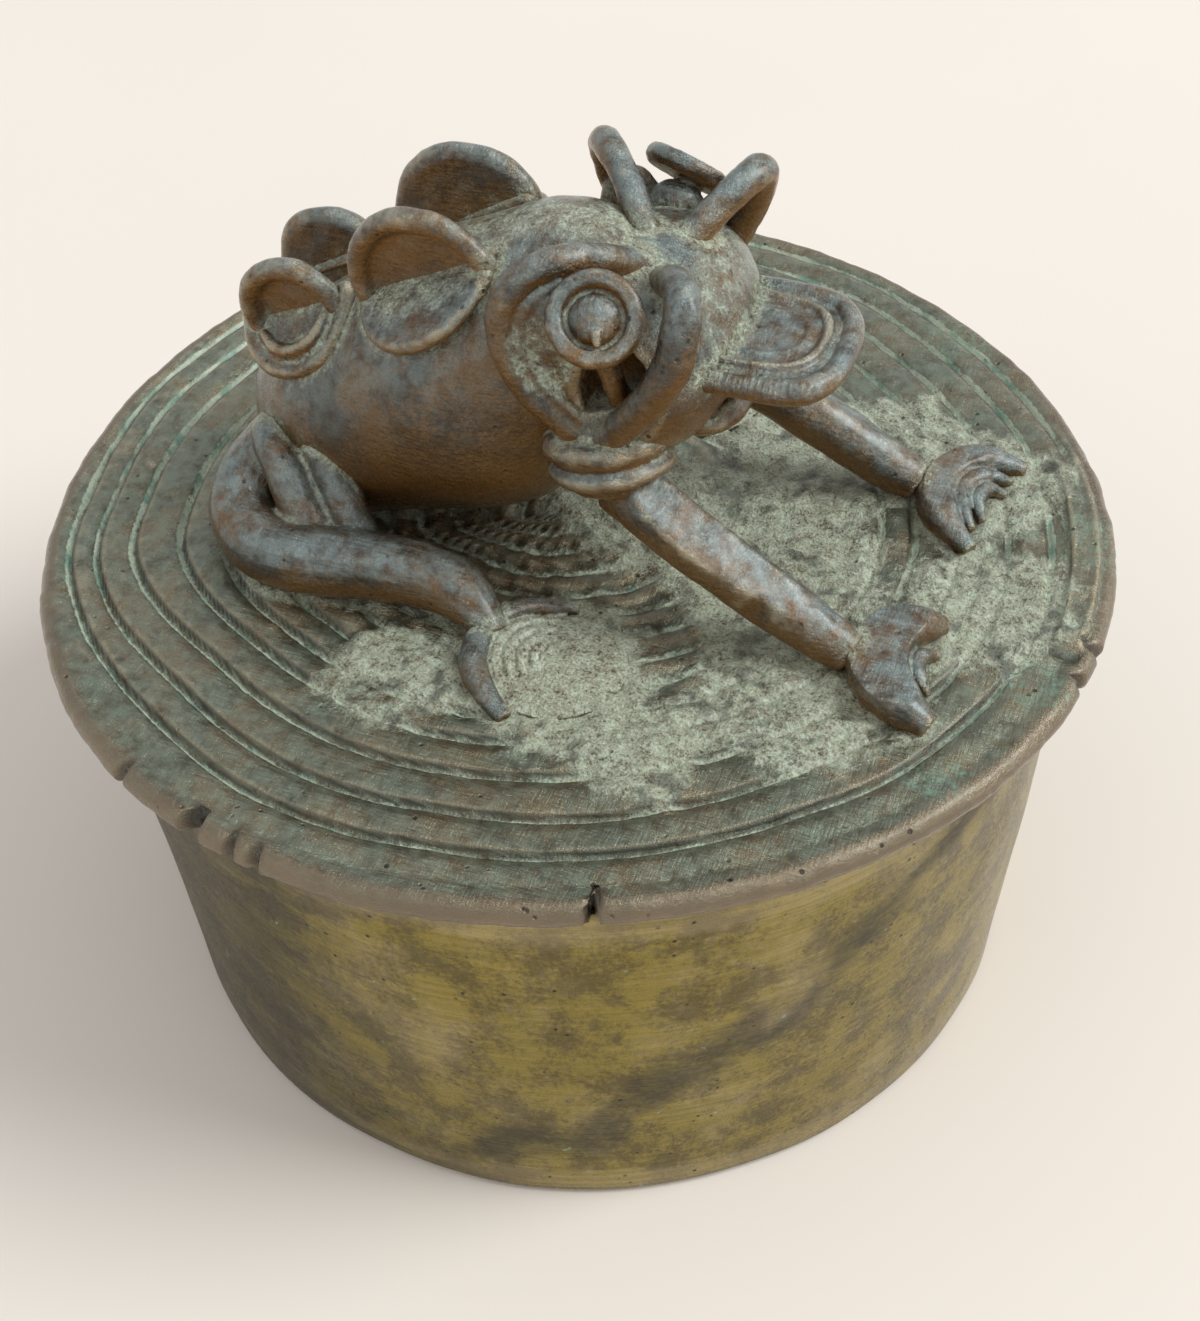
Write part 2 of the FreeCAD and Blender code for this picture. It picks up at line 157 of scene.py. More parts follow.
class FrogBoxLid(bpy.types.PropertyGroup):
    """Sizes of the lid and its coiled threads."""

    rim_round: length("Rim rounding", "Radius of the lid's worn edge", 0.95)
    sway: length("Sway", "How far the lid is off round, towards its back left", 1.12)
    lobes: length("Lobes", "How far the three corners of the lid stand out", 0.51)
    groove_width: length("Groove width", "Width of the steep wall of a groove", 0.4)
    groove_depth: length("Groove depth", "Depth of the groove between threads", 0.6)
    crust_height: length("Crust height", "Thickness of the crust on the lid", 0.45)


class FrogBoxFrog(bpy.types.PropertyGroup):
    """Sizes of the frog's wax pieces."""

    neck_radius: length("Neck", "Radius of the neck", 7.8)
    belly_radius: length("Belly", "Radius of the belly", 10.3)
    hip_radius: length("Hip", "Radius of the rump", 8.6)
    strand_radius: length("Eye strands", "Radius of the strands round the eyes", 1.2)
    inner_wire: length("Inner wire", "Radius of the thin wire inside the rear strand", 0.5)
    eye_radius: length("Eye ring", "Outer radius of the eye ring", 3.2)
    plate_thickness: length("Plates", "Thickness of the plates on the back", 1.1)
    leg_radius: length("Forelegs", "Radius at the top of the forelegs", 2.25)
    shank_radius: length("Hind legs", "Radius of the hind legs", 2.5)


class FrogBoxColours(bpy.types.PropertyGroup):
    """Colours of the casting, its wear and its dirt, and of the painted reflections and shade."""

    bronze: colour("Bronze", "Bare brown metal of the frog", 116, 90, 58)
    bronze_dark: colour("Dark bronze", "Darker tone of the frog's metal", 64, 54, 42)
    # Painted reflection: the warm glow of the floor, painted on what faces down.
    painted_underglow: colour("Amber", "Warm metal on what faces down", 158, 108, 44)
    lid_metal: colour("Lid metal", "Bare metal of the threads", 128, 116, 92)
    lid_dark: colour("Dark lid metal", "Darker tone of the threads", 82, 78, 62)
    rim_metal: colour("Rim metal", "Reddish metal round the lid's edge", 112, 96, 78)
    brass: colour("Brass", "Bare yellow metal of the cup", 148, 132, 58)
    brass_dark: colour("Dark brass", "Tarnished tone of the cup", 98, 86, 44)
    # Partly a grey dust film, partly a painted reflection of the bright sky on what faces up.
    film_and_sheen: colour("Film And Sheen", "Grey rubbed film on what faces up", 158, 176, 174)
    lid_film: colour("Lid film", "Green-grey film on the threads", 144, 158, 140)
    crust: colour("Crust", "Pale dirt in hollows and joins", 202, 216, 192)
    verdigris: colour("Verdigris", "Green bloom in the grooves", 126, 172, 150)
    worn: colour("Worn metal", "Metal rubbed bright on edges", 206, 190, 156)
    # Used for real stains and pits, and for painted shade on the cup and in the lid's grooves.
    stain_and_shade: colour("Stain", "Dark stains on the cup", 36, 34, 28)
    floor: colour("Floor", "Pale floor of the studio", 238, 230, 220)


class FrogBoxStage(bpy.types.PropertyGroup):
    """Light of the studio."""

    key_power: bpy.props.FloatProperty(
        name="Key lamp", description="Power of the large lamp behind", default=47.0, min=0, unit="POWER"
    )
    fill_power: bpy.props.FloatProperty(
        name="Fill lamp", description="Power of the lamp beside the camera", default=0.3, min=0, unit="POWER"
    )
    sky_level: share("Sky level", "Strength of the light from all round", 0.67)


# Handling pieces

def in_mm(size):
    return size / MM


def focus(*pieces):
    """Selects only these pieces, in object mode, with the first one active."""
    active = bpy.context.view_layer.objects.active
    if active and active.mode != "OBJECT":
        bpy.ops.object.mode_set(mode="OBJECT")
    bpy.ops.object.select_all(action="DESELECT")
    for piece in pieces:
        piece.select_set(True)
    bpy.context.view_layer.objects.active = pieces[0] if pieces else None


def taken(name):
    """The piece that an operator has just made, under its own name."""
    piece = bpy.context.object
    piece.name = name
    piece.data.name = name
    return piece


def in_edit_mode(piece):
    focus(piece)
    bpy.ops.object.mode_set(mode="EDIT")
    bpy.ops.mesh.select_all(action="SELECT")


def settle(piece, placement=None):
    """Moves a piece to its place and leaves the place in its mesh."""
    if placement:
        piece.matrix_world = placement
    focus(piece)
    bpy.ops.object.transform_apply(location=True, rotation=True, scale=True)
    return piece


def joined(name, pieces):
    focus(*pieces)
    bpy.ops.object.join()
    return taken(name)


def finished_with(piece, kind, **settings):
    """Adds a modifier and applies it."""
    focus(piece)
    modifier = piece.modifiers.new(kind.title(), kind)
    for name, value in settings.items():
        setattr(modifier, name, value)
    bpy.ops.object.modifier_apply(modifier=modifier.name)
    return piece


def melted(name, pieces, grain, passes):
    """Wax pieces run together into one skin, with faces of about a grain's size."""
    piece = joined(name, pieces)
    finished_with(piece, "REMESH", mode="VOXEL", voxel_size=grain * MM)
    finished_with(piece, "SMOOTH", factor=0.5, iterations=passes)
    return piece


def kneaded(piece, *swellings):
    """Uneven as wax worked by hand: soft swellings, each of a size and height."""
    for size, height in swellings:
        texture = bpy.data.textures.new("swelling", "CLOUDS")
        texture.noise_scale = size * MM
        texture.noise_depth = 1
        finished_with(
            piece, "DISPLACE", texture=texture, texture_coords="LOCAL",
            strength=2 * height * MM, mid_level=0.5,
        )
        bpy.data.textures.remove(texture)


def ball(name, centre, radius, stretch=(1, 1, 1)):
    focus()
    bpy.ops.mesh.primitive_uv_sphere_add(
        segments=48, ring_count=24, radius=radius * MM, location=Vector(centre) * MM, scale=stretch
    )
    return settle(taken(name))


def strung(name, balls):
    """A skin stretched over two balls, each a centre and a radius."""
    piece = joined(name, [ball(name, centre, radius) for centre, radius in balls])
    in_edit_mode(piece)
    bpy.ops.mesh.convex_hull(use_existing_faces=False)
    bpy.ops.mesh.normals_make_consistent(inside=False)
    bpy.ops.object.mode_set(mode="OBJECT")
    return piece


def sliced(piece, at, facing):
    """Cuts off what lies beyond a plane and closes the cut."""
    in_edit_mode(piece)
    bpy.ops.mesh.bisect(
        plane_co=Vector(at) * MM, plane_no=facing, use_fill=True, clear_outer=True
    )
    bpy.ops.object.mode_set(mode="OBJECT")
    return piece


def turned(name, outline, steps):
    """A solid turned about Z from a closed outline of radii and heights."""
    focus()
    bpy.ops.mesh.primitive_circle_add(vertices=len(outline), radius=MM)
    piece = taken(name)
    for vertex, (radius, height) in zip(piece.data.vertices, outline):
        vertex.co = (radius * MM, 0, height * MM)
    in_edit_mode(piece)
    bpy.ops.mesh.spin(steps=steps, angle=math.tau, center=(0, 0, 0), axis=UP)
    bpy.ops.mesh.select_all(action="SELECT")
    bpy.ops.mesh.remove_doubles(threshold=0.001 * MM)
    bpy.ops.mesh.delete_loose(use_faces=False)
    bpy.ops.mesh.select_all(action="SELECT")
    bpy.ops.mesh.normals_make_consistent(inside=False)
    bpy.ops.object.mode_set(mode="OBJECT")
    return piece


def run(start, end, count):
    """Points from a start up to, but without, an end."""
    return [tuple(np.array(start) + (np.array(end) - np.array(start)) * i / count) for i in range(count)]


def bend(centre, radius, first, last, count):
    """Points of an arc in an outline, with angles in degrees."""
    angles = np.radians(np.linspace(first, last, count))
    return [(centre[0] + radius * math.cos(a), centre[1] + radius * math.sin(a)) for a in angles]


def wax_thread(name, route, radii):
    """A rolled wax thread along a route, with a radius at each point of it."""
    focus()
    bpy.ops.curve.primitive_nurbs_path_add(radius=MM)
    thread = taken(name)
    curve = thread.data
    curve.splines.clear()
    spline = curve.splines.new("NURBS")
    spline.points.add(len(route) - 1)
    for point, place, radius in zip(spline.points, route, radii):
        point.co = (*(Vector(place) * MM), 1)
        point.radius = radius
    spline.order_u = 3
    spline.use_endpoint_u = True
    spline.resolution_u = 10
    curve.bevel_depth = MM
    curve.bevel_resolution = 6
    curve.use_fill_caps = True
    focus(thread)
    bpy.ops.object.convert(target="MESH")
    piece = taken(name)
    in_edit_mode(piece)
    bpy.ops.mesh.remove_doubles(threshold=0.001 * MM)
    bpy.ops.mesh.normals_make_consistent(inside=False)
    bpy.ops.object.mode_set(mode="OBJECT")
    return piece


def wax_ring(name, centre, axis, radius, wire):
    focus()
    bpy.ops.mesh.primitive_torus_add(
        major_segments=64, minor_segments=20, major_radius=radius * MM, minor_radius=wire * MM
    )
    return settle(taken(name), standing(centre, axis))


def standing(place, axis):
    """A placement with its Z along an axis."""
    turn = Vector(axis).to_track_quat("Z", "Y").to_matrix().to_4x4()
    return Matrix.Translation(Vector(place) * MM) @ turn


def to_side(side, place):
    """A place given for the frog's left: side 1 keeps it, side -1 mirrors it."""
    return Vector((place[0], side * place[1], place[2]))


def on_head(side, shares):
    along, across, up = shares
    return HEAD_CENTRE + to_side(side, (along * HEAD_RADIUS, across * HEAD_HALF_WIDTH, up * HEAD_RADIUS))


def shown(piece, body, slot, *nodes):
    """Smooths a piece's shading and puts it in place of its CAD nodes."""
    focus(piece)
    bpy.ops.object.shade_smooth()
    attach(piece, body)
    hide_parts(*nodes)
    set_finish(piece, slot)
    return piece


# Reading and moving points

def points_of(piece):
    values = np.empty(len(piece.data.vertices) * 3)
    piece.data.vertices.foreach_get("co", values)
    return values.reshape(-1, 3) / MM


def put_points(piece, points):
    piece.data.vertices.foreach_set("co", (points * MM).ravel())
    piece.data.update()


def normals_of(piece):
    values = np.empty(len(piece.data.vertices) * 3, np.float32)
    piece.data.vertex_normals.foreach_get("vector", values)
    return values.reshape(-1, 3).astype(float)


def soft_step(value, low, high):
    way = np.clip((value - low) / (high - low), 0, 1)
    return way * way * (3 - 2 * way)


def mottle(points, size, seed):
    """Soft noise of a grain size, from -1 to 1."""
    shift = Vector((seed, seed / 2, -seed))
    return np.array([noise.noise(Vector(p) / size + shift) for p in points])


def layers(points, rows):
    """Noises laid over each other, each with a height, a grain size and a seed."""
    return sum(height * mottle(points, size, seed) for height, size, seed in rows)


def dented(piece, centre, radius, depth):
    """Presses a soft hollow into a piece."""
    points = points_of(piece)
    away = np.linalg.norm(points - np.array(centre), axis=1)
    points -= normals_of(piece) * (depth * (1 - soft_step(away, 0, radius)))[:, None]
    put_points(piece, points)
    return piece


def relief(piece, rounds):
    """How far each point stands out of its smoothed surroundings, along its normal."""
    points = points_of(piece)
    ends = np.empty(len(piece.data.edges) * 2, np.int32)
    piece.data.edges.foreach_get("vertices", ends)
    first, second = ends.reshape(-1, 2).T
    count = np.bincount(ends, minlength=len(points))
    smooth = points.copy()
    for _ in range(rounds):
        total = np.stack([
            np.bincount(first, smooth[second, axis], len(points))
            + np.bincount(second, smooth[first, axis], len(points))
            for axis in range(3)
        ], axis=1)
        smooth = (smooth + total / count[:, None]) / 2
    return ((points - smooth) * normals_of(piece)).sum(axis=1)


def painted(piece, name, values):
    """Keeps a value at each point for the materials to read."""
    attribute = piece.data.attributes.get(name) or piece.data.attributes.new(name, "FLOAT", "POINT")
    attribute.data.foreach_set("value", np.asarray(values, np.float32))


# Pieces

CUP_RINGS, CUP_STEPS = 52, 240
DENT_SIZE = 14


class FROGBOX_OT_cup(bpy.types.Operator):
    """Turns the cup with its uneven wall"""

    bl_idname = "frogbox.cup"
    bl_label = "Cup"

    def execute(self, context):
        sizes = context.scene.frogbox_cup
        wall, bevel = in_mm(sizes.wall), in_mm(sizes.bevel)
        mouth, height, floor = CUP_MOUTH.x, CUP_MOUTH.z, CUP_FLOOR.z
        base = CUP_FLOOR.x - (mouth - CUP_FLOOR.x) * floor / (height - floor)
        foot = CUP_FLOOR.x - wall
        outline = [
            *run((0, 0), (base - bevel, 0), 6),
            *run((base - bevel, 0), (base, bevel), 3),
            *run((base, bevel), (mouth, height - bevel / 2), CUP_RINGS),
            (mouth, height - bevel / 2),
            (mouth - bevel / 3, height),
            (mouth - wall + bevel / 3, height),
            *run((mouth - wall, height - bevel / 2), (foot, floor + bevel), CUP_RINGS // 2),
            (foot, floor + bevel),
            (foot - bevel, floor),
            *run((foot - 2 * bevel, floor), (0, floor), 6),
            (0, floor),
        ]
        cup = turned("box_cup", outline, CUP_STEPS)
        kneaded(cup, (DENT_SIZE, in_mm(sizes.dents)))
        points = points_of(cup)
        points[:, 2] = np.clip(points[:, 2], 0, height)
        put_points(cup, points)
        shown(cup, "box", "box_brass", "box_wall", "box_floor")
        return {"FINISHED"}


LID_STEPS = 640
MIDDLE_RADIUS, MIDDLE_RINGS, OUTER_RINGS = 21, 36, 100
SWAY_AT, LOBES_AT = 143, 15
THREAD_WIDTHS = (2.1, 2.6, 3.2, 3.5, 3.1, 2.4)
INNER_THREAD_WIDTH = 2.5
COIL_START, COIL_SPREAD = 203.0, 32.0
COIL_LEAN, COIL_LEAN_AT = 1.2, 195.0
THREAD_END, THREAD_END_DEPTH, THREAD_END_HALF = 354.0, 2.3, 1.1
FAR = 99.0
RIM_CHIPS = (
    (240, 0.6, 0.6), (250, 1.1, 1.1), (255, 0.5, 0.8), (258, 0.5, 0.6), (351, 0.6, 0.8), (356, 0.7, 0.6),
)
RIM_SLIT, RIM_SLIT_WIDTH = 290.0, 0.55
WANDER, CHIP_RAGGED = ((0.35, 9, 3),), ((0.4, 0.8, 23),)
SWELL, EDGE_WEAR = ((0.13, 5, 1), (0.05, 1.4, 2)), ((0.14, 3, 21), (0.08, 1, 22))
CRUST_BLOTCH, CRUST_LUMPS = ((0.55, 4, 11), (0.4, 1.5, 12)), ((1, 1.6, 5), (0.7, 0.7, 7))
CRUST_HOLES = ((1, 1.2, 41), (0.5, 4, 42))
CRUST_PATCHES = (
    (-5.4, -20.5, 8), (4.4, -17, 10), (19.7, -15, 10), (31, -1, 9), (28, 12, 9),
    (15, 9, 11), (20, 15, 9), (16, -2, 12), (4, 2, 10), (-18, -12, 6), (12, -22, 7), (-20, 14, 7),
)
GREEN_PATCHES = ((37, 8, 5), (36, -8, 4), (31, -18, 4), (22, 30, 5))


def patches(x, y, blotches):
    """Round patches that fade out, each a place and a radius."""
    total = np.zeros(len(x))
    for centre_x, centre_y, radius in blotches:
        away = np.hypot(x - centre_x, y - centre_y) / radius
        total = np.maximum(total, 1 - soft_step(away, 0.45, 1.0))
    return total


class FROGBOX_OT_lid(bpy.types.Operator):
    """Turns the lid and winds the threads on it, with their crust, chips and worn rim"""

    bl_idname = "frogbox.lid"
    bl_label = "Lid"

    def execute(self, context):
        sizes = context.scene.frogbox_lid
        rounding = in_mm(sizes.rim_round)
        edge = LID_RADIUS - rounding
        outline = [
            *run((0, LID_TOP), (MIDDLE_RADIUS, LID_TOP), MIDDLE_RINGS),
            *run((MIDDLE_RADIUS, LID_TOP), (edge, LID_TOP), OUTER_RINGS),
            *bend((edge, LID_TOP - rounding), rounding, 90, -80, 12),
            *run((edge - rounding / 2, LID_UNDER), (0, LID_UNDER), 8),
            (0, LID_UNDER),
        ]
        lid = turned("lid_top", outline, LID_STEPS)
        self.wind_threads(lid, sizes)
        shown(lid, "lid", "lid_patina", "lid_plate", "rim_thread", "coil_thread")
        return {"FINISHED"}

    def wind_threads(self, lid, sizes):
        points = points_of(lid)
        flat = np.hypot(points[:, 0], points[:, 1])
        angle = np.arctan2(points[:, 1], points[:, 0])
        turn = np.degrees(angle) % 360
        rim = (
            LID_RADIUS + in_mm(sizes.sway) * np.cos(angle - math.radians(SWAY_AT))
            + in_mm(sizes.lobes) * np.cos(3 * angle + math.radians(LOBES_AT))
        )
        radius = flat * (1 + (rim / LID_RADIUS - 1) * soft_step(flat, 15, LID_RADIUS))
        points[:, 0] = radius * np.cos(angle)
        points[:, 1] = radius * np.sin(angle)
        wander = layers(points, WANDER)
        depth = rim - radius + wander * soft_step(rim - radius, 0.5, 3)
        lean = np.maximum(0, np.cos(angle - math.radians(COIL_LEAN_AT))) ** 4
        depth = depth + COIL_LEAN * lean * soft_step(depth, 1, 7)

        grooves = np.cumsum(THREAD_WIDTHS)
        count = np.interp(depth, np.concatenate([[0], grooves]), range(len(grooves) + 1))
        count += np.maximum(0, depth - grooves[-1]) / INNER_THREAD_WIDTH
        wound = count - soft_step(turn, COIL_START, COIL_START + COIL_SPREAD)
        width = np.append(THREAD_WIDTHS, INNER_THREAD_WIDTH)[np.searchsorted(grooves, depth)]
        share_of_thread = wound % 1
        past = np.where(wound >= 1, share_of_thread * width, FAR)
        ahead = np.where(wound >= 0, (1 - share_of_thread) * width, FAR)
        top = soft_step(points[:, 2], LID_TOP - 0.6, LID_TOP - 0.1)
        inside = soft_step(radius, 1.5, 4)

        end_side = soft_step(np.abs(depth - THREAD_END_DEPTH), THREAD_END_HALF + 0.15, THREAD_END_HALF - 0.2)
        past_end = ((turn - THREAD_END) % 360) * math.radians(1) * LID_RADIUS
        loose_end = end_side * soft_step(past_end, 0, 0.5) * (1 - soft_step(past_end, 16, 30))
        before_end = (THREAD_END - turn) % 360
        gap = end_side * np.exp(-(before_end / 0.9) ** 2)

        crusted = patches(points[:, 0], points[:, 1], CRUST_PATCHES) + layers(points, CRUST_BLOTCH)
        crust = soft_step(crusted, 0.15, 1.0)
        lumps = layers(points, CRUST_LUMPS)
        bare = inside * (1 - loose_end)
        wall = soft_step(past, in_mm(sizes.groove_width), 0.1)
        slope = 0.25 * soft_step(ahead, 1.2, 0.35) + 0.75 * soft_step(ahead, 0.35, 0)
        drop = in_mm(sizes.groove_depth) * np.maximum(wall, slope) * bare * (1 - 0.7 * crust)
        lining = np.maximum(np.exp(-((ahead - 0.15) / 0.26) ** 2), np.exp(-(past / 0.12) ** 2)) * bare
        # Painted shadow on the steep wall of each groove.
        shade = np.exp(-((past - 0.33) / 0.2) ** 2) * bare
        crown = 0.10 * (1 - (2 * share_of_thread - 1) ** 2)
        swell = layers(points, SWELL)

        rise = swell + crown - drop + crust * in_mm(sizes.crust_height) * (0.3 + 0.7 * lumps)
        rise += 0.55 * loose_end - 0.9 * gap
        points[:, 2] += top * rise

        rim_band = soft_step(radius, rim - 2.2, rim - 0.4)
        inward = np.zeros(len(points))
        ragged = layers(points, CHIP_RAGGED)
        for chip_turn, chip_width, chip_depth in RIM_CHIPS:
            inward += chip_depth * soft_step(np.abs(turn - chip_turn) / chip_width + ragged, 1.2, 0.5)
        off_slit = np.abs((turn - RIM_SLIT) * math.radians(1) * LID_RADIUS + 0.5 * (radius - LID_RADIUS))
        inward += 1.6 * soft_step(off_slit, RIM_SLIT_WIDTH, 0.1) * soft_step(radius, rim - 2.0, rim - 0.8)
        edge_wear = layers(points, EDGE_WEAR)
        out = rim_band * (edge_wear - inward)
        points[:, 0] += out * np.cos(angle)
        points[:, 1] += out * np.sin(angle)
        put_points(lid, points)
        painted(lid, "groove", top * lining * (1 - 0.5 * crust))
        painted(lid, "crust", top * crust)
        painted(lid, "green", patches(points[:, 0], points[:, 1], GREEN_PATCHES))
        painted(lid, "rim", rim_band)
        holes = crust * soft_step(layers(points, CRUST_HOLES), 0.25, 0.6)
        # Painted shade in the gap at the thread's end, in the rim's chips and slit and on the groove walls,
        # with dark holes in the crust.
        shaded = gap + rim_band * inward + 0.8 * top * shade * (1 - crust) + 0.75 * top * holes
        painted(lid, "painted_shade_and_holes", np.clip(shaded, 0, 1))


COLLAR_WALL, COLLAR_ROUND, COLLAR_WARP = 1.5, 0.4, 0.004


class FROGBOX_OT_collar(bpy.types.Operator):
    """Turns the collar under the lid"""

    bl_idname = "frogbox.collar"
    bl_label = "Collar"

    def execute(self, context):
        outer = COLLAR_HIGH.x
        inner = outer - COLLAR_WALL
        bottom, high = COLLAR_LOW.z + COLLAR_ROUND, COLLAR_HIGH.z
        outline = [
            *run((inner, high), (inner, bottom), 10),
            *bend((inner + COLLAR_ROUND, bottom), COLLAR_ROUND, 180, 270, 4),
            *bend((outer - COLLAR_ROUND, bottom), COLLAR_ROUND, 270, 360, 4),
            *run((outer, bottom + 0.1), (outer, high), 10),
            (outer, high),
        ]
        collar = turned("lid_collar_ring", outline, CUP_STEPS)
        points = points_of(collar)
        points[:, :2] *= (1 - COLLAR_WARP * (1 + mottle(points, 7, 4)))[:, None]
        put_points(collar, points)
        shown(collar, "lid", "lid_patina", "lid_collar")
        return {"FINISHED"}


SUNK, TRUNK_SUNK = 0.5, 0.4
NECK, BELLY, HIP = (-0.2, 0, 56.9), (-7.1, 0, 50.7), (-16.8, 0, 45.6)
HEAD_SIDE_SHARE, HEAD_SIDE_RADIUS, HEAD_TRIM = 0.40, 6.5, 0.5
SOCKET_SHARES, SOCKET_RADIUS, SOCKET_STRETCH = (0.02, 1.0, 0.1), 2.8, (0.95, 1.2, 1.25)


class FROGBOX_OT_trunk(bpy.types.Operator):
    """Melts the frog's body and head together and hollows out the eye sockets"""

    bl_idname = "frogbox.trunk"
    bl_label = "Body and head"

    def execute(self, context):
        sizes = context.scene.frogbox_frog
        neck = (NECK, in_mm(sizes.neck_radius))
        belly = (BELLY, in_mm(sizes.belly_radius))
        hip = (HIP, in_mm(sizes.hip_radius))
        body = [strung("front", [neck, belly]), strung("back", [belly, hip])]
        centre = HEAD_CENTRE - Vector((HEAD_TRIM, 0, 0))
        middle = (centre, HEAD_RADIUS - HEAD_TRIM)
        head = []
        for name, side in SIDES:
            cheek = centre + Vector((0, side * HEAD_SIDE_SHARE * HEAD_HALF_WIDTH, 0))
            half = strung(name, [middle, (cheek, HEAD_SIDE_RADIUS)])
            head.append(sliced(half, (0, side * HEAD_HALF_WIDTH, 0), (0, side, 0)))
        trunk = melted("frog_trunk", body + head, 0.27, 6)
        for _, side in SIDES:
            socket = ball("socket", on_head(side, SOCKET_SHARES), SOCKET_RADIUS, SOCKET_STRETCH)
            finished_with(trunk, "BOOLEAN", operation="DIFFERENCE", object=socket, solver="EXACT")
            bpy.data.objects.remove(socket)
        melted("frog_trunk", [trunk], 0.27, 3)
        sliced(trunk, (0, 0, LID_TOP - TRUNK_SUNK), -UP)
        kneaded(trunk, (6, 0.14), (1.4, 0.04))
        points = points_of(trunk)
        ridge = np.exp(-(points[:, 1] / 3.4) ** 2) * soft_step(points[:, 0], 8, 2)
        cheek = 0.7 * soft_step(points[:, 0], 7, 10) * soft_step(points[:, 2], 50, 53)
        painted(trunk, "crust", np.maximum(0.85 * ridge, cheek))
        shown(trunk, "lid", "frog_patina", "frog_body", "frog_head")
        return {"FINISHED"}


LIP_RIM, LIP_THREADS = 0.85, ((1.5, 0.34), (2.7, 0.26))
NICK_PITCH, NICK_DEPTH = 0.42, 0.12
LOWER_LIP_RADII = (0.8, 0.95, 0.8, 0.95, 0.8)
LOWER_LIP = ((9.0, -5.2, 53.2), (11.7, -4.4, 52.7), (12.6, 0, 52.4), (11.7, 4.4, 52.7), (9.0, 5.2, 53.2))


class FROGBOX_OT_mouth(bpy.types.Operator):
    """Lays the lips: a tongue-shaped plate with a rolled rim and threads, and a roll below"""

    bl_idname = "frogbox.mouth"
    bl_label = "Mouth"

    def lip_route(self, inset, level):
        back, reach = HEAD_CENTRE.x + 2, LIP_HIGH.x - LIP_RIM - inset
        half = LIP_HIGH.y - LIP_RIM - inset
        return [
            (back, -half * 1.1, level), (back + 5, -half * 1.12, level), (reach - 1.6, -half * 1.05, level),
            (reach, -half * 0.62, level), (reach + 0.3, 0, level), (reach, half * 0.62, level),
            (reach - 1.6, half * 1.05, level), (back + 5, half * 1.12, level), (back, half * 1.1, level),
        ]

    def execute(self, context):
        level = (LIP_LOW.z + LIP_HIGH.z) / 2
        centre = ((HEAD_CENTRE.x + LIP_HIGH.x) / 2 + 1, 0, level)
        half_length = LIP_HIGH.x - LIP_RIM - centre[0]
        plate = ball("plate", centre, 1, (half_length + 0.6, LIP_HIGH.y - 0.4, 0.85))
        rim = wax_thread("rim", self.lip_route(0, level), [LIP_RIM] * 9)
        threads = [
            wax_thread("thread", self.lip_route(inset, level + 0.66), [radius] * 9)
            for inset, radius in LIP_THREADS
        ]
        upper = melted("mouth_upper_lip", [plate, rim, *threads], 0.15, 3)
        kneaded(upper, (4, 0.16))
        self.notch(upper, level)
        shown(upper, "lid", "frog_patina", "upper_lip", "upper_lip_rim", "lip_thread")
        roll = wax_thread("lower", LOWER_LIP, LOWER_LIP_RADII)
        lower = melted("mouth_lower_lip", [roll], 0.16, 3)
        kneaded(lower, (1.5, 0.15))
        shown(lower, "lid", "frog_patina", "lower_lip")
        return {"FINISHED"}

    def notch(self, lip, level):
        """Nicks along the near edge of the rim."""
        points = points_of(lip)
        edge = soft_step(-points[:, 1], 4.6, 5.6) * soft_step(points[:, 0], 11, 12) * (points[:, 2] > level)
        nicks = soft_step(np.sin(points[:, 0] * math.tau / NICK_PITCH + points[:, 1]), 0.2, 0.9)
        points[:, 2] -= NICK_DEPTH * edge * nicks
        put_points(lip, points)


REAR_STRAND = {
    "left": (
        (-0.14, 0.16, 0.78), (-0.46, 0.48, 1.10), (-0.82, 0.80, 1.26), (-0.95, 0.99, 1.10),
        (-0.86, 1.06, 0.68), (-0.72, 1.07, 0.20), (-0.50, 1.04, -0.16), (-0.26, 0.98, -0.48),
    ),
    "right": (
        (-0.08, 0.16, 0.78), (-0.30, 0.45, 1.06), (-0.62, 0.76, 1.18), (-0.95, 0.95, 1.05),
        (-1.04, 1.02, 0.66), (-0.93, 1.05, 0.22), (-0.62, 1.03, -0.16), (-0.26, 0.98, -0.48),
    ),
}
REAR_SHARES = (0.85, 0.9, 0.92, 0.9, 0.9, 0.88, 0.85, 0.75)
FRONT_STRAND = {
    "left": (
        (0.08, 0.20, 0.66), (0.38, 0.54, 1.03), (0.62, 0.85, 1.20), (0.58, 1.02, 0.98),
        (0.42, 1.08, 0.54), (0.18, 1.07, 0.05), (-0.04, 1.02, -0.28), (-0.24, 0.98, -0.52),
    ),
    "right": (
        (0.08, 0.20, 0.66), (0.36, 0.52, 1.02), (0.58, 0.86, 1.16), (0.63, 1.03, 0.90),
        (0.54, 1.09, 0.50), (0.26, 1.07, 0.05), (-0.02, 1.02, -0.28), (-0.24, 0.98, -0.52),
    ),
}
FRONT_SHARES = (0.85, 0.95, 1.0, 1.08, 1.12, 1.08, 1.0, 0.8)
EYE_PLACE, EYE_AXIS = (-0.15, 1.01, 0.88), (0.265, 0.656, 0.707)
INNER_WIRE_SHARE, LOOP_MIDDLE = 0.80, (-0.1, 1.0, 0.45)
RING_STEPS = 72
LOOP_WEB, LOOP_WEB_STRETCH = (-0.62, 0.93, 0.42), (2.6, 1.0, 4.0)
EYE_BACKING, EYE_BACKING_STRETCH = (-0.16, 0.80, 0.66), (2.2, 1.7, 2.2)
EYE_STALK = ((-0.15, 1.00, 0.86), (-0.06, 1.00, 0.50), (0.0, 0.95, 0.12), (0.02, 0.80, -0.15))


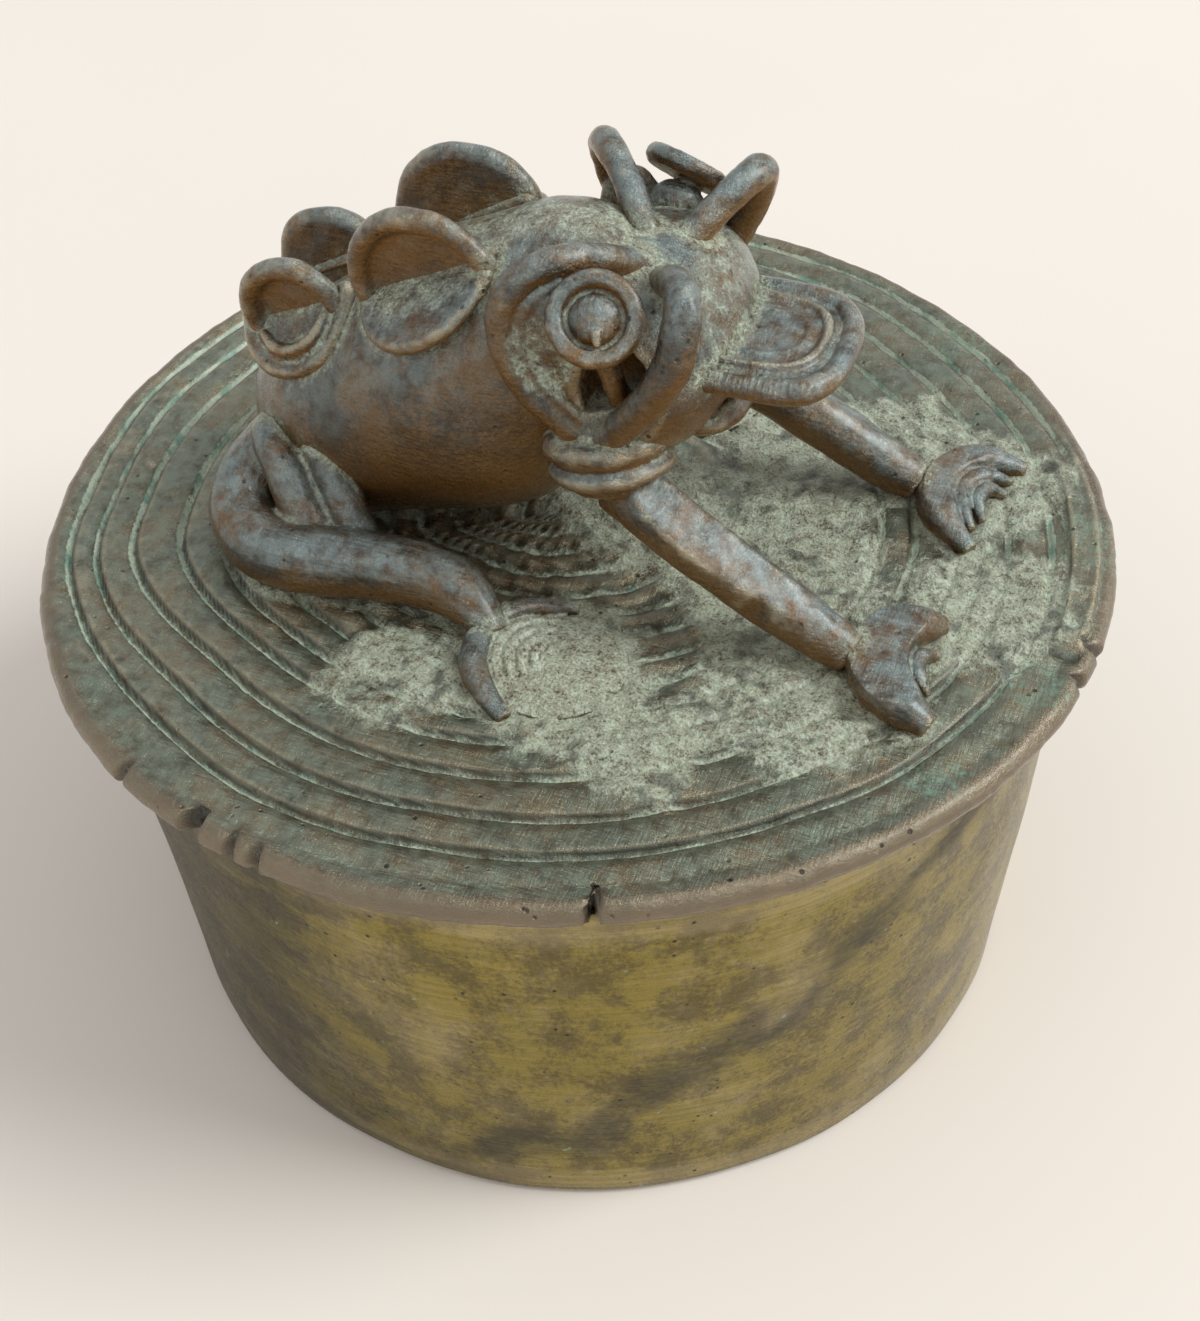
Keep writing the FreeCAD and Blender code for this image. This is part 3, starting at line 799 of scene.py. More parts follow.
class FROGBOX_OT_eyes(bpy.types.Operator):
    """Bends the strands round the eyes and sets a ringed pellet on its stalk between them"""

    bl_idname = "frogbox.eyes"
    bl_label = "Eyes"

    def execute(self, context):
        sizes = context.scene.frogbox_frog
        for name, side in SIDES:
            self.bend_strands(name, side, sizes)
            self.set_ring(name, side, sizes)
        return {"FINISHED"}

    def bend_strands(self, name, side, sizes):
        thick = in_mm(sizes.strand_radius)
        rear = [on_head(side, place) for place in REAR_STRAND[name]]
        front = [on_head(side, place) for place in FRONT_STRAND[name]]
        middle = on_head(side, LOOP_MIDDLE)
        wire = [middle + (place - middle) * INNER_WIRE_SHARE for place in rear[2:]]
        pieces = [
            wax_thread("rear", rear, [thick * s for s in REAR_SHARES]),
            wax_thread("front", front, [thick * s for s in FRONT_SHARES]),
            wax_thread("wire", wire, [in_mm(sizes.inner_wire)] * len(wire)),
        ]
        web = ball("web", on_head(side, LOOP_WEB), 1, LOOP_WEB_STRETCH)
        strands = melted(name + "_eye_strands", [*pieces, web], 0.16, 3)
        kneaded(strands, (2.5, 0.12), (0.9, 0.05))
        points = points_of(strands)
        away = np.linalg.norm(points - np.array(on_head(side, LOOP_WEB)), axis=1)
        painted(strands, "crust", 1.7 * soft_step(away, 3.8, 2.2))
        shown(strands, "lid", "frog_patina", name + "_eye_rear_strand", name + "_eye_front_strand")

    def set_ring(self, name, side, sizes):
        outer = in_mm(sizes.eye_radius)
        outline = [
            (0, -0.3), (outer - 0.45, -0.3), (outer - 0.05, 0.1), (outer, 0.55), (outer - 0.12, 0.9),
            (outer - 0.35, 1.08), (outer - 0.9, 1.04), (outer - 1.12, 0.9), (outer - 1.22, 0.4), (0, 0.4),
        ]
        ring = turned("ring", outline, RING_STEPS)
        pellet = ball("pellet", (0, 0, 0.4), 1, (1.66, 1.66, 0.85))
        nub = wax_thread("nub", ((0, -0.8, 1.0), (0.05, -1.35, 1.0), (0.1, -1.9, 1.0)), (0.42, 0.4, 0.2))
        place = standing(on_head(side, EYE_PLACE), to_side(side, EYE_AXIS))
        parts = [settle(part, place) for part in (ring, pellet, nub)]
        stalk = wax_thread("stalk", [on_head(side, s) for s in EYE_STALK], (0.9, 0.8, 0.75, 0.9))
        backing = ball("backing", on_head(side, EYE_BACKING), 1, EYE_BACKING_STRETCH)
        eye = melted(name + "_eye_ring", [*parts, stalk, backing], 0.13, 2)
        kneaded(eye, (1.2, 0.07))
        shown(eye, "lid", "frog_patina", name + "_eye_coil", name + "_eye_pellet", name + "_eye_stalk")


BODY_UP = Vector((-0.462, 0, 0.887))
PLATE_STEPS = 96
PLATES = {
    "mid": ((-9.0, 3.8, 60.0), (5.8, 95), (5.8, 25)),
    "rear": ((-20.0, 3.0, 54.8), (4.4, 95), (5.2, 43)),
}


class FROGBOX_OT_plates(bpy.types.Operator):
    """Presses the hooded plates and the flat discs below them on the frog's back"""

    bl_idname = "frogbox.plates"
    bl_label = "Back plates"

    def execute(self, context):
        thick = in_mm(context.scene.frogbox_frog.plate_thickness)
        for name, side in SIDES:
            for place, (hinge, (hood_radius, hood_lean), (disc_radius, disc_lean)) in PLATES.items():
                self.press_hood(name + "_" + place, to_side(side, hinge), side, hood_radius, hood_lean, thick)
                self.press_disc(name + "_" + place, to_side(side, hinge), side, disc_radius, disc_lean, thick)
        return {"FINISHED"}

    def press_hood(self, name, hinge, side, radius, lean, thick):
        angle = math.radians(lean)
        square = UP * math.cos(angle) + Vector((0, side * math.sin(angle), 0))
        outline = [
            (0, -thick / 2), (radius - 0.8, -thick / 2 - 0.1),
            *bend((radius - 0.75, 0.25), 0.85, -80, 150, 12),
            (radius - 1.7, 0.25), (0, 0.3),
        ]
        hood = settle(turned("hood", outline, PLATE_STEPS), standing(hinge, square))
        hood = melted(name + "_hood", [hood], 0.18, 4)
        kneaded(hood, (4, 0.2), (1.2, 0.05))
        shown(hood, "lid", "frog_patina", name + "_upper_plate")

    def press_disc(self, name, hinge, side, radius, lean, thick):
        angle = math.radians(lean)
        side_way = Vector((0, side, 0))
        square = BODY_UP * math.cos(angle) + side_way * math.sin(angle)
        out = side_way * math.cos(angle) - BODY_UP * math.sin(angle)
        rimmed = name.endswith("rear")
        face = 0.35 if rimmed else 0.62
        outline = [
            (0, -thick / 2), (radius - 0.6, -thick / 2),
            *bend((radius - 0.62, 0.05), 0.62, -80, 90, 10),
            (radius - 1.4, face), (0, face),
        ]
        disc = settle(turned("disc", outline, PLATE_STEPS), standing(hinge, square))
        sliced(disc, hinge - out * 0.8, -out)
        pieces = [disc]
        if rimmed:
            pieces.append(self.rim_roll(hinge, square, out, radius))
        disc = melted(name + "_disc", pieces, 0.18, 4)
        kneaded(disc, (4, 0.16), (1.1, 0.05))
        shown(disc, "lid", "frog_patina", name + "_lower_plate")

    def rim_roll(self, hinge, square, out, radius):
        """A raised crescent inside the rim of the disc."""
        across = out.cross(square)
        route = [
            hinge + (out * math.sin(a) + across * math.cos(a)) * radius * 0.62 + square * 0.55
            for a in np.radians(np.linspace(20, 160, 7))
        ]
        return wax_thread("roll", route, (0.3, 0.45, 0.5, 0.55, 0.5, 0.45, 0.3))


SHOULDER_TOP, SHOULDER_FOOT = (4.3, 6.3, 55.1), (5.5, 7.6, 49.4)
SHOULDER_RADII = (3.1, 3.5, 3.7, 3.2)
SHOULDER_BANDS = ((0.50, 3.65, 0.95), (0.80, 3.85, 0.62))
FORELEG_SHARES, FORELEG_FACET = (1.0, 1.0, 0.96, 0.88, 0.7), 0.72
FORELEG = ((5.9, 7.7, 49.2), (9.0, 9.0, 48.3), (15.5, 9.5, 44.3), (20.8, 9.6, 41.2), (23.3, 9.7, 39.9))
END_SINK = 0.9
FOREFOOT, FOREFOOT_TOP = (30.0, 9.3), 2.2
FOREFOOT_TOES = {
    "left": (
        (5.3, 84, 256, 1.1, (0.6, 1.4, 1.5, 1.5, 1.4, 0.6)), (3.4, 90, 240, 1.2, (0.3, 0.72, 0.8, 0.72, 0.3)),
        (2.0, 95, 235, 1.0, (0.3, 0.6, 0.7, 0.6, 0.3)),
    ),
    "right": (
        (5.0, 90, 256, 1.3, (0.9, 1.9, 2.2, 2.2, 1.9, 0.7)), (2.2, 110, 240, 1.1, (0.3, 0.6, 0.7, 0.6, 0.3)),
    ),
}
LEG_DENT, LEG_DENT_RADIUS, LEG_DENT_DEPTH = (17.0, 11.0, 43.4), 1.5, 0.5


def curled(name, centre, radius, first, last, radii, level, side):
    """A thread curled on the lid from one angle to another, open to the front, its ends sunk in the lid."""
    sunk = np.zeros(len(radii))
    sunk[[0, -1]] = END_SINK
    route = [
        to_side(side, (centre[0] + radius * math.cos(a), centre[1] + radius * math.sin(a), level - drop))
        for a, drop in zip(np.radians(np.linspace(first, last, len(radii))), sunk)
    ]
    return wax_thread(name, route, radii)


class FROGBOX_OT_front_legs(bpy.types.Operator):
    """Rolls the forelegs with their shoulders, bands and curled feet"""

    bl_idname = "frogbox.front_legs"
    bl_label = "Front legs"

    def execute(self, context):
        thick = in_mm(context.scene.frogbox_frog.leg_radius)
        for name, side in SIDES:
            top, foot = to_side(side, SHOULDER_TOP), to_side(side, SHOULDER_FOOT)
            route = [top.lerp(foot, s) for s in (0, 0.4, 0.85, 1.05)]
            pieces = [wax_thread("shoulder", route, SHOULDER_RADII)]
            for place, radius, wire in SHOULDER_BANDS:
                pieces.append(wax_ring("band", top.lerp(foot, place), foot - top, radius, wire))
            pieces.append(self.roll_leg(side, thick))
            leg = melted(name + "_front_leg", pieces, 0.2, 4)
            dented(leg, to_side(side, LEG_DENT), LEG_DENT_RADIUS, LEG_DENT_DEPTH)
            kneaded(leg, (3.5, 0.14), (1.0, 0.04))
            nodes = [name + "_" + node for node in ("shoulder", "shoulder_bands", "foreleg")]
            shown(leg, "lid", "frog_patina", *nodes)
            foot = melted(name + "_front_foot", self.curl_foot(side, FOREFOOT_TOES[name]), 0.13, 2)
            kneaded(foot, (3.0, 0.12), (0.9, 0.05))
            shown(foot, "lid", "frog_patina", name + "_fore_foot")
        return {"FINISHED"}

    def roll_leg(self, side, thick):
        route = [to_side(side, place) for place in FORELEG]
        leg = wax_thread("leg", route, [thick * s for s in FORELEG_SHARES])
        along = (route[3] - route[0]).normalized()
        above = (UP - along * along.z).normalized()
        facet = (above + to_side(side, (0, 0.35, 0))).normalized()
        return sliced(leg, route[2] + facet * thick * FORELEG_FACET, facet)

    def curl_foot(self, side, turns):
        """A crescent pressed flat, with smaller ones inside it."""
        toes = []
        for radius, first, last, rise, radii in turns:
            toe = curled("toe", FOREFOOT, radius, first, last, radii, LID_TOP + rise, side)
            toe = sliced(toe, (0, 0, LID_TOP + FOREFOOT_TOP), UP)
            toes.append(sliced(toe, (0, 0, LID_TOP - SUNK), -UP))
        return toes


THIGH = ((-19.6, 5.4, 47.4), (-17.0, 8.0, 46.0), (-14.6, 9.8, 43.2), (-12.6, 11.2, 40.4))
THIGH_SPREAD, THIGH_RADII = (-2.3, 1.8, -0.3), (1.1, 1.55, 1.65, 1.5)
THIGH_WEB, THIGH_WEB_STRETCH = (-17.0, 11.6, 41.2), (4.2, 2.2, 1.7)
SHANK = ((-19.6, 4.3, 47.2), (-22.6, 7.2, 44.4), (-23.0, 11.2, 41.6), (-18.6, 14.6, 41.3),
         (-12.0, 13.4, 41.5), (-6.0, 13.0, 41.5), (-2.9, 14.0, 40.9), (-0.9, 15.4, 39.5))
SHANK_SHARES = (0.75, 0.95, 1.02, 1.05, 1.0, 0.98, 0.8, 0.45)
HINDFOOT = (4.2, 16.4)
HINDFOOT_TOES = (
    (6.0, 106, 264, 0.75, (0.6, 1.0, 1.1, 1.05, 0.9, 0.4)),
    (4.6, 120, 258, 0.8, (0.2, 0.42, 0.45, 0.42, 0.2)),
    (3.6, 124, 256, 0.8, (0.2, 0.4, 0.43, 0.4, 0.2)), (2.6, 126, 252, 0.8, (0.2, 0.4, 0.43, 0.4, 0.2)),
    (1.6, 128, 250, 0.8, (0.2, 0.4, 0.42, 0.4, 0.2)),
)
HINDFOOT_PAD, HINDFOOT_CRUST = (5.0, 5.2, 0.5), 5.2


class FROGBOX_OT_back_legs(bpy.types.Operator):
    """Rolls the hind legs: a doubled thigh, a shank bent round it and a curled foot"""

    bl_idname = "frogbox.back_legs"
    bl_label = "Back legs"

    def execute(self, context):
        thick = in_mm(context.scene.frogbox_frog.shank_radius)
        for name, side in SIDES:
            spread = to_side(side, THIGH_SPREAD)
            inner = [to_side(side, place) for place in THIGH]
            outer = [place + spread for place in inner]
            pieces = [wax_thread("thigh", route, THIGH_RADII) for route in (inner, outer)]
            pieces.append(ball("web", to_side(side, THIGH_WEB), 1, THIGH_WEB_STRETCH))
            shank = [to_side(side, place) for place in SHANK]
            pieces.append(wax_thread("shank", shank, [thick * s for s in SHANK_SHARES]))
            leg = melted(name + "_back_leg", pieces, 0.17, 3)
            sliced(leg, (0, 0, LID_TOP - SUNK), -UP)
            kneaded(leg, (4, 0.15), (1.0, 0.04))
            shown(leg, "lid", "frog_patina", name + "_hind_thigh", name + "_hind_shank")
            self.curl_foot(name, side)
        return {"FINISHED"}

    def curl_foot(self, name, side):
        """A thick outer toe with thin ones nested inside, half lost in the crust."""
        toes = [
            curled("toe", HINDFOOT, radius, first, last, radii, LID_TOP + rise, side)
            for radius, first, last, rise, radii in HINDFOOT_TOES
        ]
        pad = ball("pad", to_side(side, (*HINDFOOT, LID_TOP)), 1, HINDFOOT_PAD)
        foot = melted(name + "_back_foot", [*toes, pad], 0.12, 1)
        sliced(foot, (0, 0, LID_TOP - SUNK), -UP)
        kneaded(foot, (1.0, 0.05))
        centre = np.array(to_side(side, (*HINDFOOT, LID_TOP)))
        away = np.linalg.norm(points_of(foot) - centre, axis=1)
        painted(foot, "crust", soft_step(away, HINDFOOT_CRUST, HINDFOOT_CRUST - 0.8))
        shown(foot, "lid", "frog_patina", name + "_hind_foot")


# Finish

class Wiring:
    """Adds nodes to one tree and joins them up."""

    def __init__(self, tree):
        self.tree = tree

    def node(self, kind, inputs=(), **settings):
        made = self.tree.nodes.new("ShaderNode" + kind)
        for name, value in settings.items():
            setattr(made, name, value)
        for name, value in dict(inputs).items():
            if isinstance(value, bpy.types.NodeSocket):
                self.tree.links.new(value, made.inputs[name])
            else:
                made.inputs[name].default_value = value
        return made

    def maths(self, operation, first, second=0.0):
        return self.node("Math", {0: first, 1: second}, operation=operation).outputs[0]

    def times(self, first, *others):
        for other in others:
            first = self.maths("MULTIPLY", first, other)
        return first

    def plus(self, first, *others):
        for other in others:
            first = self.maths("ADD", first, other)
        return first

    def less(self, value):
        return self.maths("SUBTRACT", 1.0, value)

    def step(self, value, low, high):
        """A soft step from 0 at one value to 1 at another."""
        inputs = {"Value": value, "From Min": low, "From Max": high}
        return self.node("MapRange", inputs, interpolation_type="SMOOTHSTEP").outputs["Result"]

    def span(self, value, low, high):
        inputs = {"Value": value, "To Min": low, "To Max": high}
        return self.node("MapRange", inputs).outputs["Result"]

    def about(self, value, weight):
        """A noise centred on 0 and weighted."""
        return self.times(self.span(value, -0.5, 0.5), weight)

    def mix(self, factor, first, second):
        made = self.node("Mix", {0: factor, 6: first, 7: second}, data_type="RGBA")
        return made.outputs[2]

    def value_of(self, attribute):
        return self.node("Attribute", attribute_name=attribute).outputs["Fac"]

    def place(self):
        return self.node("TexCoord").outputs["Object"]

    def stretched(self, turn, scale):
        """Object coordinates turned and stretched, for streaks and scratches."""
        inputs = {"Vector": self.place(), "Rotation": turn, "Scale": scale}
        return self.node("Mapping", inputs).outputs["Vector"]

    def speckle(self, size, detail=3.0, rough=0.6, vector=None):
        """Noise with grains of a size in millimetres."""
        inputs = {
            "Vector": vector or self.place(), "Scale": 1 / (size * MM), "Detail": detail, "Roughness": rough,
        }
        return self.node("TexNoise", inputs).outputs["Fac"]


def group(name, inputs, outputs):
    """A shader node group with named sockets; colours have four numbers as their default."""
    tree = bpy.data.node_groups.new(name, "ShaderNodeTree")
    for label, default in inputs.items():
        kind = "NodeSocketColor" if isinstance(default, tuple) else "NodeSocketFloat"
        socket = tree.interface.new_socket(label, in_out="INPUT", socket_type=kind)
        socket.default_value = default
    for label, kind in outputs.items():
        tree.interface.new_socket(label, in_out="OUTPUT", socket_type="NodeSocket" + kind)
    return tree, Wiring(tree), tree.nodes.new("NodeGroupInput").outputs


def close_group(tree, results):
    end = tree.nodes.new("NodeGroupOutput")
    for label, socket in results.items():
        tree.links.new(socket, end.inputs[label])
    return tree


def hand_marks():
    """Fine strokes of the wax tools, small pits and a soft grain."""
    inputs = {"Stroke Depth": 0.5, "Pit Depth": 0.5}
    tree, wire, given = group("Hand marks", inputs, {"Height": "Float", "Pits": "Float"})
    strokes = wire.speckle(0.5, 4, 0.75, wire.stretched((0.3, 0.5, 0.7), (0.2, 2.0, 2.0)))
    cross = wire.speckle(0.6, 4, 0.75, wire.stretched((1.1, -0.4, 0.2), (2.4, 0.25, 1.6)))
    cells = wire.node("TexVoronoi", {"Vector": wire.place(), "Scale": 1 / (1.1 * MM), "Randomness": 1.0})
    sparse = wire.step(wire.speckle(2.4, 2), 0.54, 0.62)
    pits = wire.times(wire.less(wire.step(cells.outputs["Distance"], 0.08, 0.2)), sparse)
    height = wire.plus(
        wire.times(wire.plus(strokes, cross), given["Stroke Depth"]),
        wire.times(pits, given["Pit Depth"], -1.0),
    )
    return close_group(tree, {"Height": height, "Pits": pits})


def weathering():
    """Tones of old metal under a film on what faces up, which on the frog is also a painted sky sheen, with
    crust in hollows and joins and bare worn edges.
    """
    black = (0.0, 0.0, 0.0, 1.0)
    inputs = {
        "Metal": black, "Dark Metal": black, "Film And Sheen": black, "Crust": black, "Worn": black,
        "Film Amount": 0.5, "Crust Amount": 0.5, "Wear Amount": 0.5,
    }
    values = ("Metallic", "Roughness", "Height", "Crust")
    outputs = {"Color": "Color", **{label: "Float" for label in values}}
    tree, wire, given = group("Weathering", inputs, outputs)
    broad, middle = wire.speckle(4.5, 4), wire.speckle(1.3, 5, 0.65)
    fine, grain = wire.speckle(0.4, 3, 0.7), wire.speckle(0.2, 2, 0.6)
    varied = wire.plus(broad, wire.about(fine, 0.5))
    tone = wire.mix(wire.step(varied, 0.38, 0.62), given["Metal"], given["Dark Metal"])

    # Film on what faces up; with the frog's pale grey it is also a painted sky reflection.
    upward = wire.step(wire.value_of("sky"), -0.1, 0.95)
    dusty = wire.step(wire.plus(middle, wire.times(broad, 0.5)), 0.5, 0.95)
    film_and_sheen = wire.times(upward, dusty, given["Film Amount"])
    tone = wire.mix(film_and_sheen, tone, given["Film And Sheen"])

    sheltered = wire.plus(
        wire.times(wire.value_of("hollow"), 0.7), wire.times(wire.value_of("join"), 0.75),
        wire.times(wire.value_of("crust"), 0.85),
    )
    lodged = wire.plus(
        wire.times(sheltered, wire.span(upward, 0.3, 1.0)), wire.about(fine, 0.8),
        wire.about(middle, 0.9),
    )
    crust = wire.times(wire.step(lodged, 0.22, 0.9), given["Crust Amount"])
    olive = wire.mix(0.4, given["Metal"], given["Crust"])
    grains = wire.plus(wire.times(grain, 0.3), wire.times(fine, 0.35), wire.times(middle, 0.35))
    dirt = wire.mix(wire.step(grains, 0.36, 0.47), given["Dark Metal"], olive)
    dirt = wire.mix(wire.step(grains, 0.45, 0.64), dirt, given["Crust"])
    tone = wire.mix(crust, tone, dirt)

    rubbed = wire.plus(wire.value_of("edge"), wire.about(middle, 0.8))
    wear = wire.times(wire.step(rubbed, 0.35, 0.85), given["Wear Amount"], wire.less(crust))
    tone = wire.mix(wear, tone, given["Worn"])

    metallic = wire.times(0.9, wire.less(crust), wire.less(wire.times(film_and_sheen, 0.25)))
    roughness = wire.plus(
        0.25, wire.times(film_and_sheen, 0.05), wire.times(crust, 0.5), wire.times(wear, -0.08),
        wire.about(fine, 0.3),
    )
    height = wire.plus(
        wire.times(crust, wire.plus(wire.times(grains, 2.6), 0.2)), wire.times(middle, 0.2),
    )
    results = {"Color": tone, "Metallic": metallic, "Roughness": roughness, "Height": height, "Crust": crust}
    return close_group(tree, results)


def opaque(value):
    return (*value, 1.0)


class Finish:
    """One material that starts from the weathering and the hand marks."""

    def __init__(self, name, groups, colours, amounts, strokes, pits):
        self.material = bpy.data.materials.new(name)
        self.material.use_nodes = True
        tree = self.material.node_tree
        self.shader = tree.nodes["Principled BSDF"]
        self.tree = tree
        self.wire = Wiring(tree)
        values = {**{label: opaque(value) for label, value in colours.items()}, **amounts}
        self.aged = self.wire.node("Group", node_tree=groups["weathering"])
        self.marks = self.wire.node("Group", node_tree=groups["marks"])
        for label, value in values.items():
            self.aged.inputs[label].default_value = value
        self.marks.inputs["Stroke Depth"].default_value = strokes
        self.marks.inputs["Pit Depth"].default_value = pits

    def out(self, label):
        return self.aged.outputs[label]

    def varnish(self, weight):
        """A thin clear coat of wax and handling that keeps highlights white."""
        self.shader.inputs["Coat Weight"].default_value = weight
        self.shader.inputs["Coat Roughness"].default_value = 0.3

    def close(self, tone, metallic, roughness, height, distance):
        """Wires the shader, with a bump whose relief is given in millimetres."""
        bump = self.wire.node("Bump", {"Height": height, "Distance": distance * MM, "Strength": 1.0})
        links = {"Base Color": tone, "Metallic": metallic, "Roughness": roughness, "Normal": bump.outputs[0]}
        for label, socket in links.items():
            self.tree.links.new(socket, self.shader.inputs[label])
        return self.material


def frog_patina(groups, colours):
    """Brown bronze with a painted amber reflection of the floor below, a grey film with a painted sky sheen
    above and pale dirt in the joins.
    """
    finish = Finish(
        "frog_patina", groups,
        {"Metal": colours.bronze, "Dark Metal": colours.bronze_dark, "Film And Sheen": colours.film_and_sheen,
         "Crust": colours.crust, "Worn": colours.worn},
        {"Film Amount": 0.68, "Crust Amount": 0.92, "Wear Amount": 0.45}, 0.9, 0.6,
    )
    wire = finish.wire
    # Painted reflection: what faces down is tinted amber as if lit by the warm floor.
    painted_glow_below = wire.times(wire.step(wire.value_of("sky"), 0.3, -0.5), wire.less(finish.out("Crust")), 0.8)
    tone = wire.mix(painted_glow_below, finish.out("Color"), opaque(colours.painted_underglow))
    tone = wire.mix(wire.times(finish.marks.outputs["Pits"], 0.8), tone, opaque(colours.stain_and_shade))
    height = wire.plus(finish.out("Height"), finish.marks.outputs["Height"])
    finish.varnish(0.6)
    return finish.close(tone, finish.out("Metallic"), finish.out("Roughness"), height, 0.15)


def lid_patina(groups, colours):
    """Grey-brown threads with green-lined grooves and painted shadow on their walls, a crusted middle and a
    reddish worn rim.
    """
    finish = Finish(
        "lid_patina", groups,
        {"Metal": colours.lid_metal, "Dark Metal": colours.lid_dark, "Film And Sheen": colours.lid_film,
         "Crust": colours.crust, "Worn": colours.worn},
        {"Film Amount": 0.6, "Crust Amount": 0.85, "Wear Amount": 0.3}, 0.6, 0.8,
    )
    wire = finish.wire
    fine = wire.speckle(0.4, 4, 0.7)
    loose = wire.span(fine, -0.5, 0.5)
    rim = wire.times(wire.step(wire.value_of("rim"), 0.35, 0.9), wire.less(finish.out("Crust")))
    tone = wire.mix(wire.times(rim, 0.7), finish.out("Color"), opaque(colours.rim_metal))
    bloom = wire.times(wire.step(wire.plus(wire.times(wire.value_of("green"), 0.3), fine), 0.74, 0.98), 0.5)
    tone = wire.mix(bloom, tone, opaque(colours.verdigris))
    gaps = wire.about(wire.speckle(2.5, 2), 0.8)
    broken = wire.plus(wire.value_of("groove"), loose, gaps)
    line = wire.step(broken, 0.5, 0.85)
    pale = wire.step(wire.speckle(2.0, 2), 0.3, 0.55)
    lining = wire.mix(pale, opaque(colours.verdigris), opaque(colours.crust))
    tone = wire.mix(wire.times(line, 0.85), tone, lining)
    # Painted shade in the grooves, gap and chips, with dark crust holes and pits, darkened towards the stain
    # colour.
    shade_and_pits = wire.maths("MAXIMUM", wire.value_of("painted_shade_and_holes"), finish.marks.outputs["Pits"])
    shaded = wire.times(shade_and_pits, wire.less(line))
    tone = wire.mix(wire.times(shaded, 0.85), tone, opaque(colours.stain_and_shade))
    covered = wire.maths("MAXIMUM", wire.times(line, 0.9), bloom)
    metallic = wire.times(finish.out("Metallic"), wire.less(covered))
    roughness = wire.plus(finish.out("Roughness"), wire.times(covered, 0.35), wire.times(rim, -0.06), 0.04)
    height = wire.plus(finish.out("Height"), finish.marks.outputs["Height"])
    finish.varnish(0.4)
    return finish.close(tone, metallic, roughness, height, 0.16)


def box_brass(groups, colours):
    """Olive brass, brushed round the wall, with dark stains, painted shade on one side and under the lid, and
    small green spots.
    """
    finish = Finish(
        "box_brass", groups,
        {"Metal": colours.brass, "Dark Metal": colours.brass_dark, "Film And Sheen": colours.brass_dark,
         "Crust": colours.brass_dark, "Worn": colours.worn},
        {"Film Amount": 0.2, "Crust Amount": 0.3, "Wear Amount": 0.3}, 0.0, 0.5,
    )
    wire = finish.wire
    brushing = wire.speckle(0.8, 5, 0.75, wire.stretched((0.03, 0.02, 0.0), (0.06, 0.06, 2.4)))
    clouds = wire.speckle(4.5, 7, 0.72, wire.stretched((0.35, 0.3, 0.0), (0.7, 0.7, 1.7)))
    brushed = wire.times(wire.step(brushing, 0.35, 0.7), 0.5)
    tone = wire.mix(brushed, finish.out("Color"), opaque(colours.brass_dark))
    cloudy = wire.about(clouds, 1.4)
    # Stains and painted shade, broken up by clouds.
    blot_and_shade = wire.step(wire.plus(wire.value_of("stain_and_shade"), cloudy), 0.2, 0.95)
    tone = wire.mix(wire.times(blot_and_shade, 0.7), tone, opaque(colours.stain_and_shade))
    spots = wire.step(wire.speckle(1.2, 3), 0.71, 0.75)
    tone = wire.mix(wire.times(spots, 0.5), tone, opaque(colours.verdigris))
    tone = wire.mix(finish.marks.outputs["Pits"], tone, opaque(colours.stain_and_shade))
    metallic = wire.times(finish.out("Metallic"), wire.less(wire.times(blot_and_shade, 0.35)), wire.less(spots))
    roughness = wire.plus(finish.out("Roughness"), wire.times(blot_and_shade, 0.15), 0.02)
    height = wire.plus(wire.times(brushing, 0.9), wire.times(clouds, 0.5), finish.marks.outputs["Height"])
    return finish.close(tone, metallic, roughness, height, 0.07)


JOIN_REACH = 1.3
SHADED_SIDE = 215.0
HOLLOW_DEPTH, EDGE_HEIGHT, RELIEF_ROUNDS = 0.12, 0.16, 24
STREAK_TURN, STREAK_LEAN, STREAK_WIDTH = 268, 2.0, 6
STREAK_RAGGED = ((9, 8, 31), (4, 2.5, 32))
MATERIALS = {"frog_patina": frog_patina, "lid_patina": lid_patina, "box_brass": box_brass}


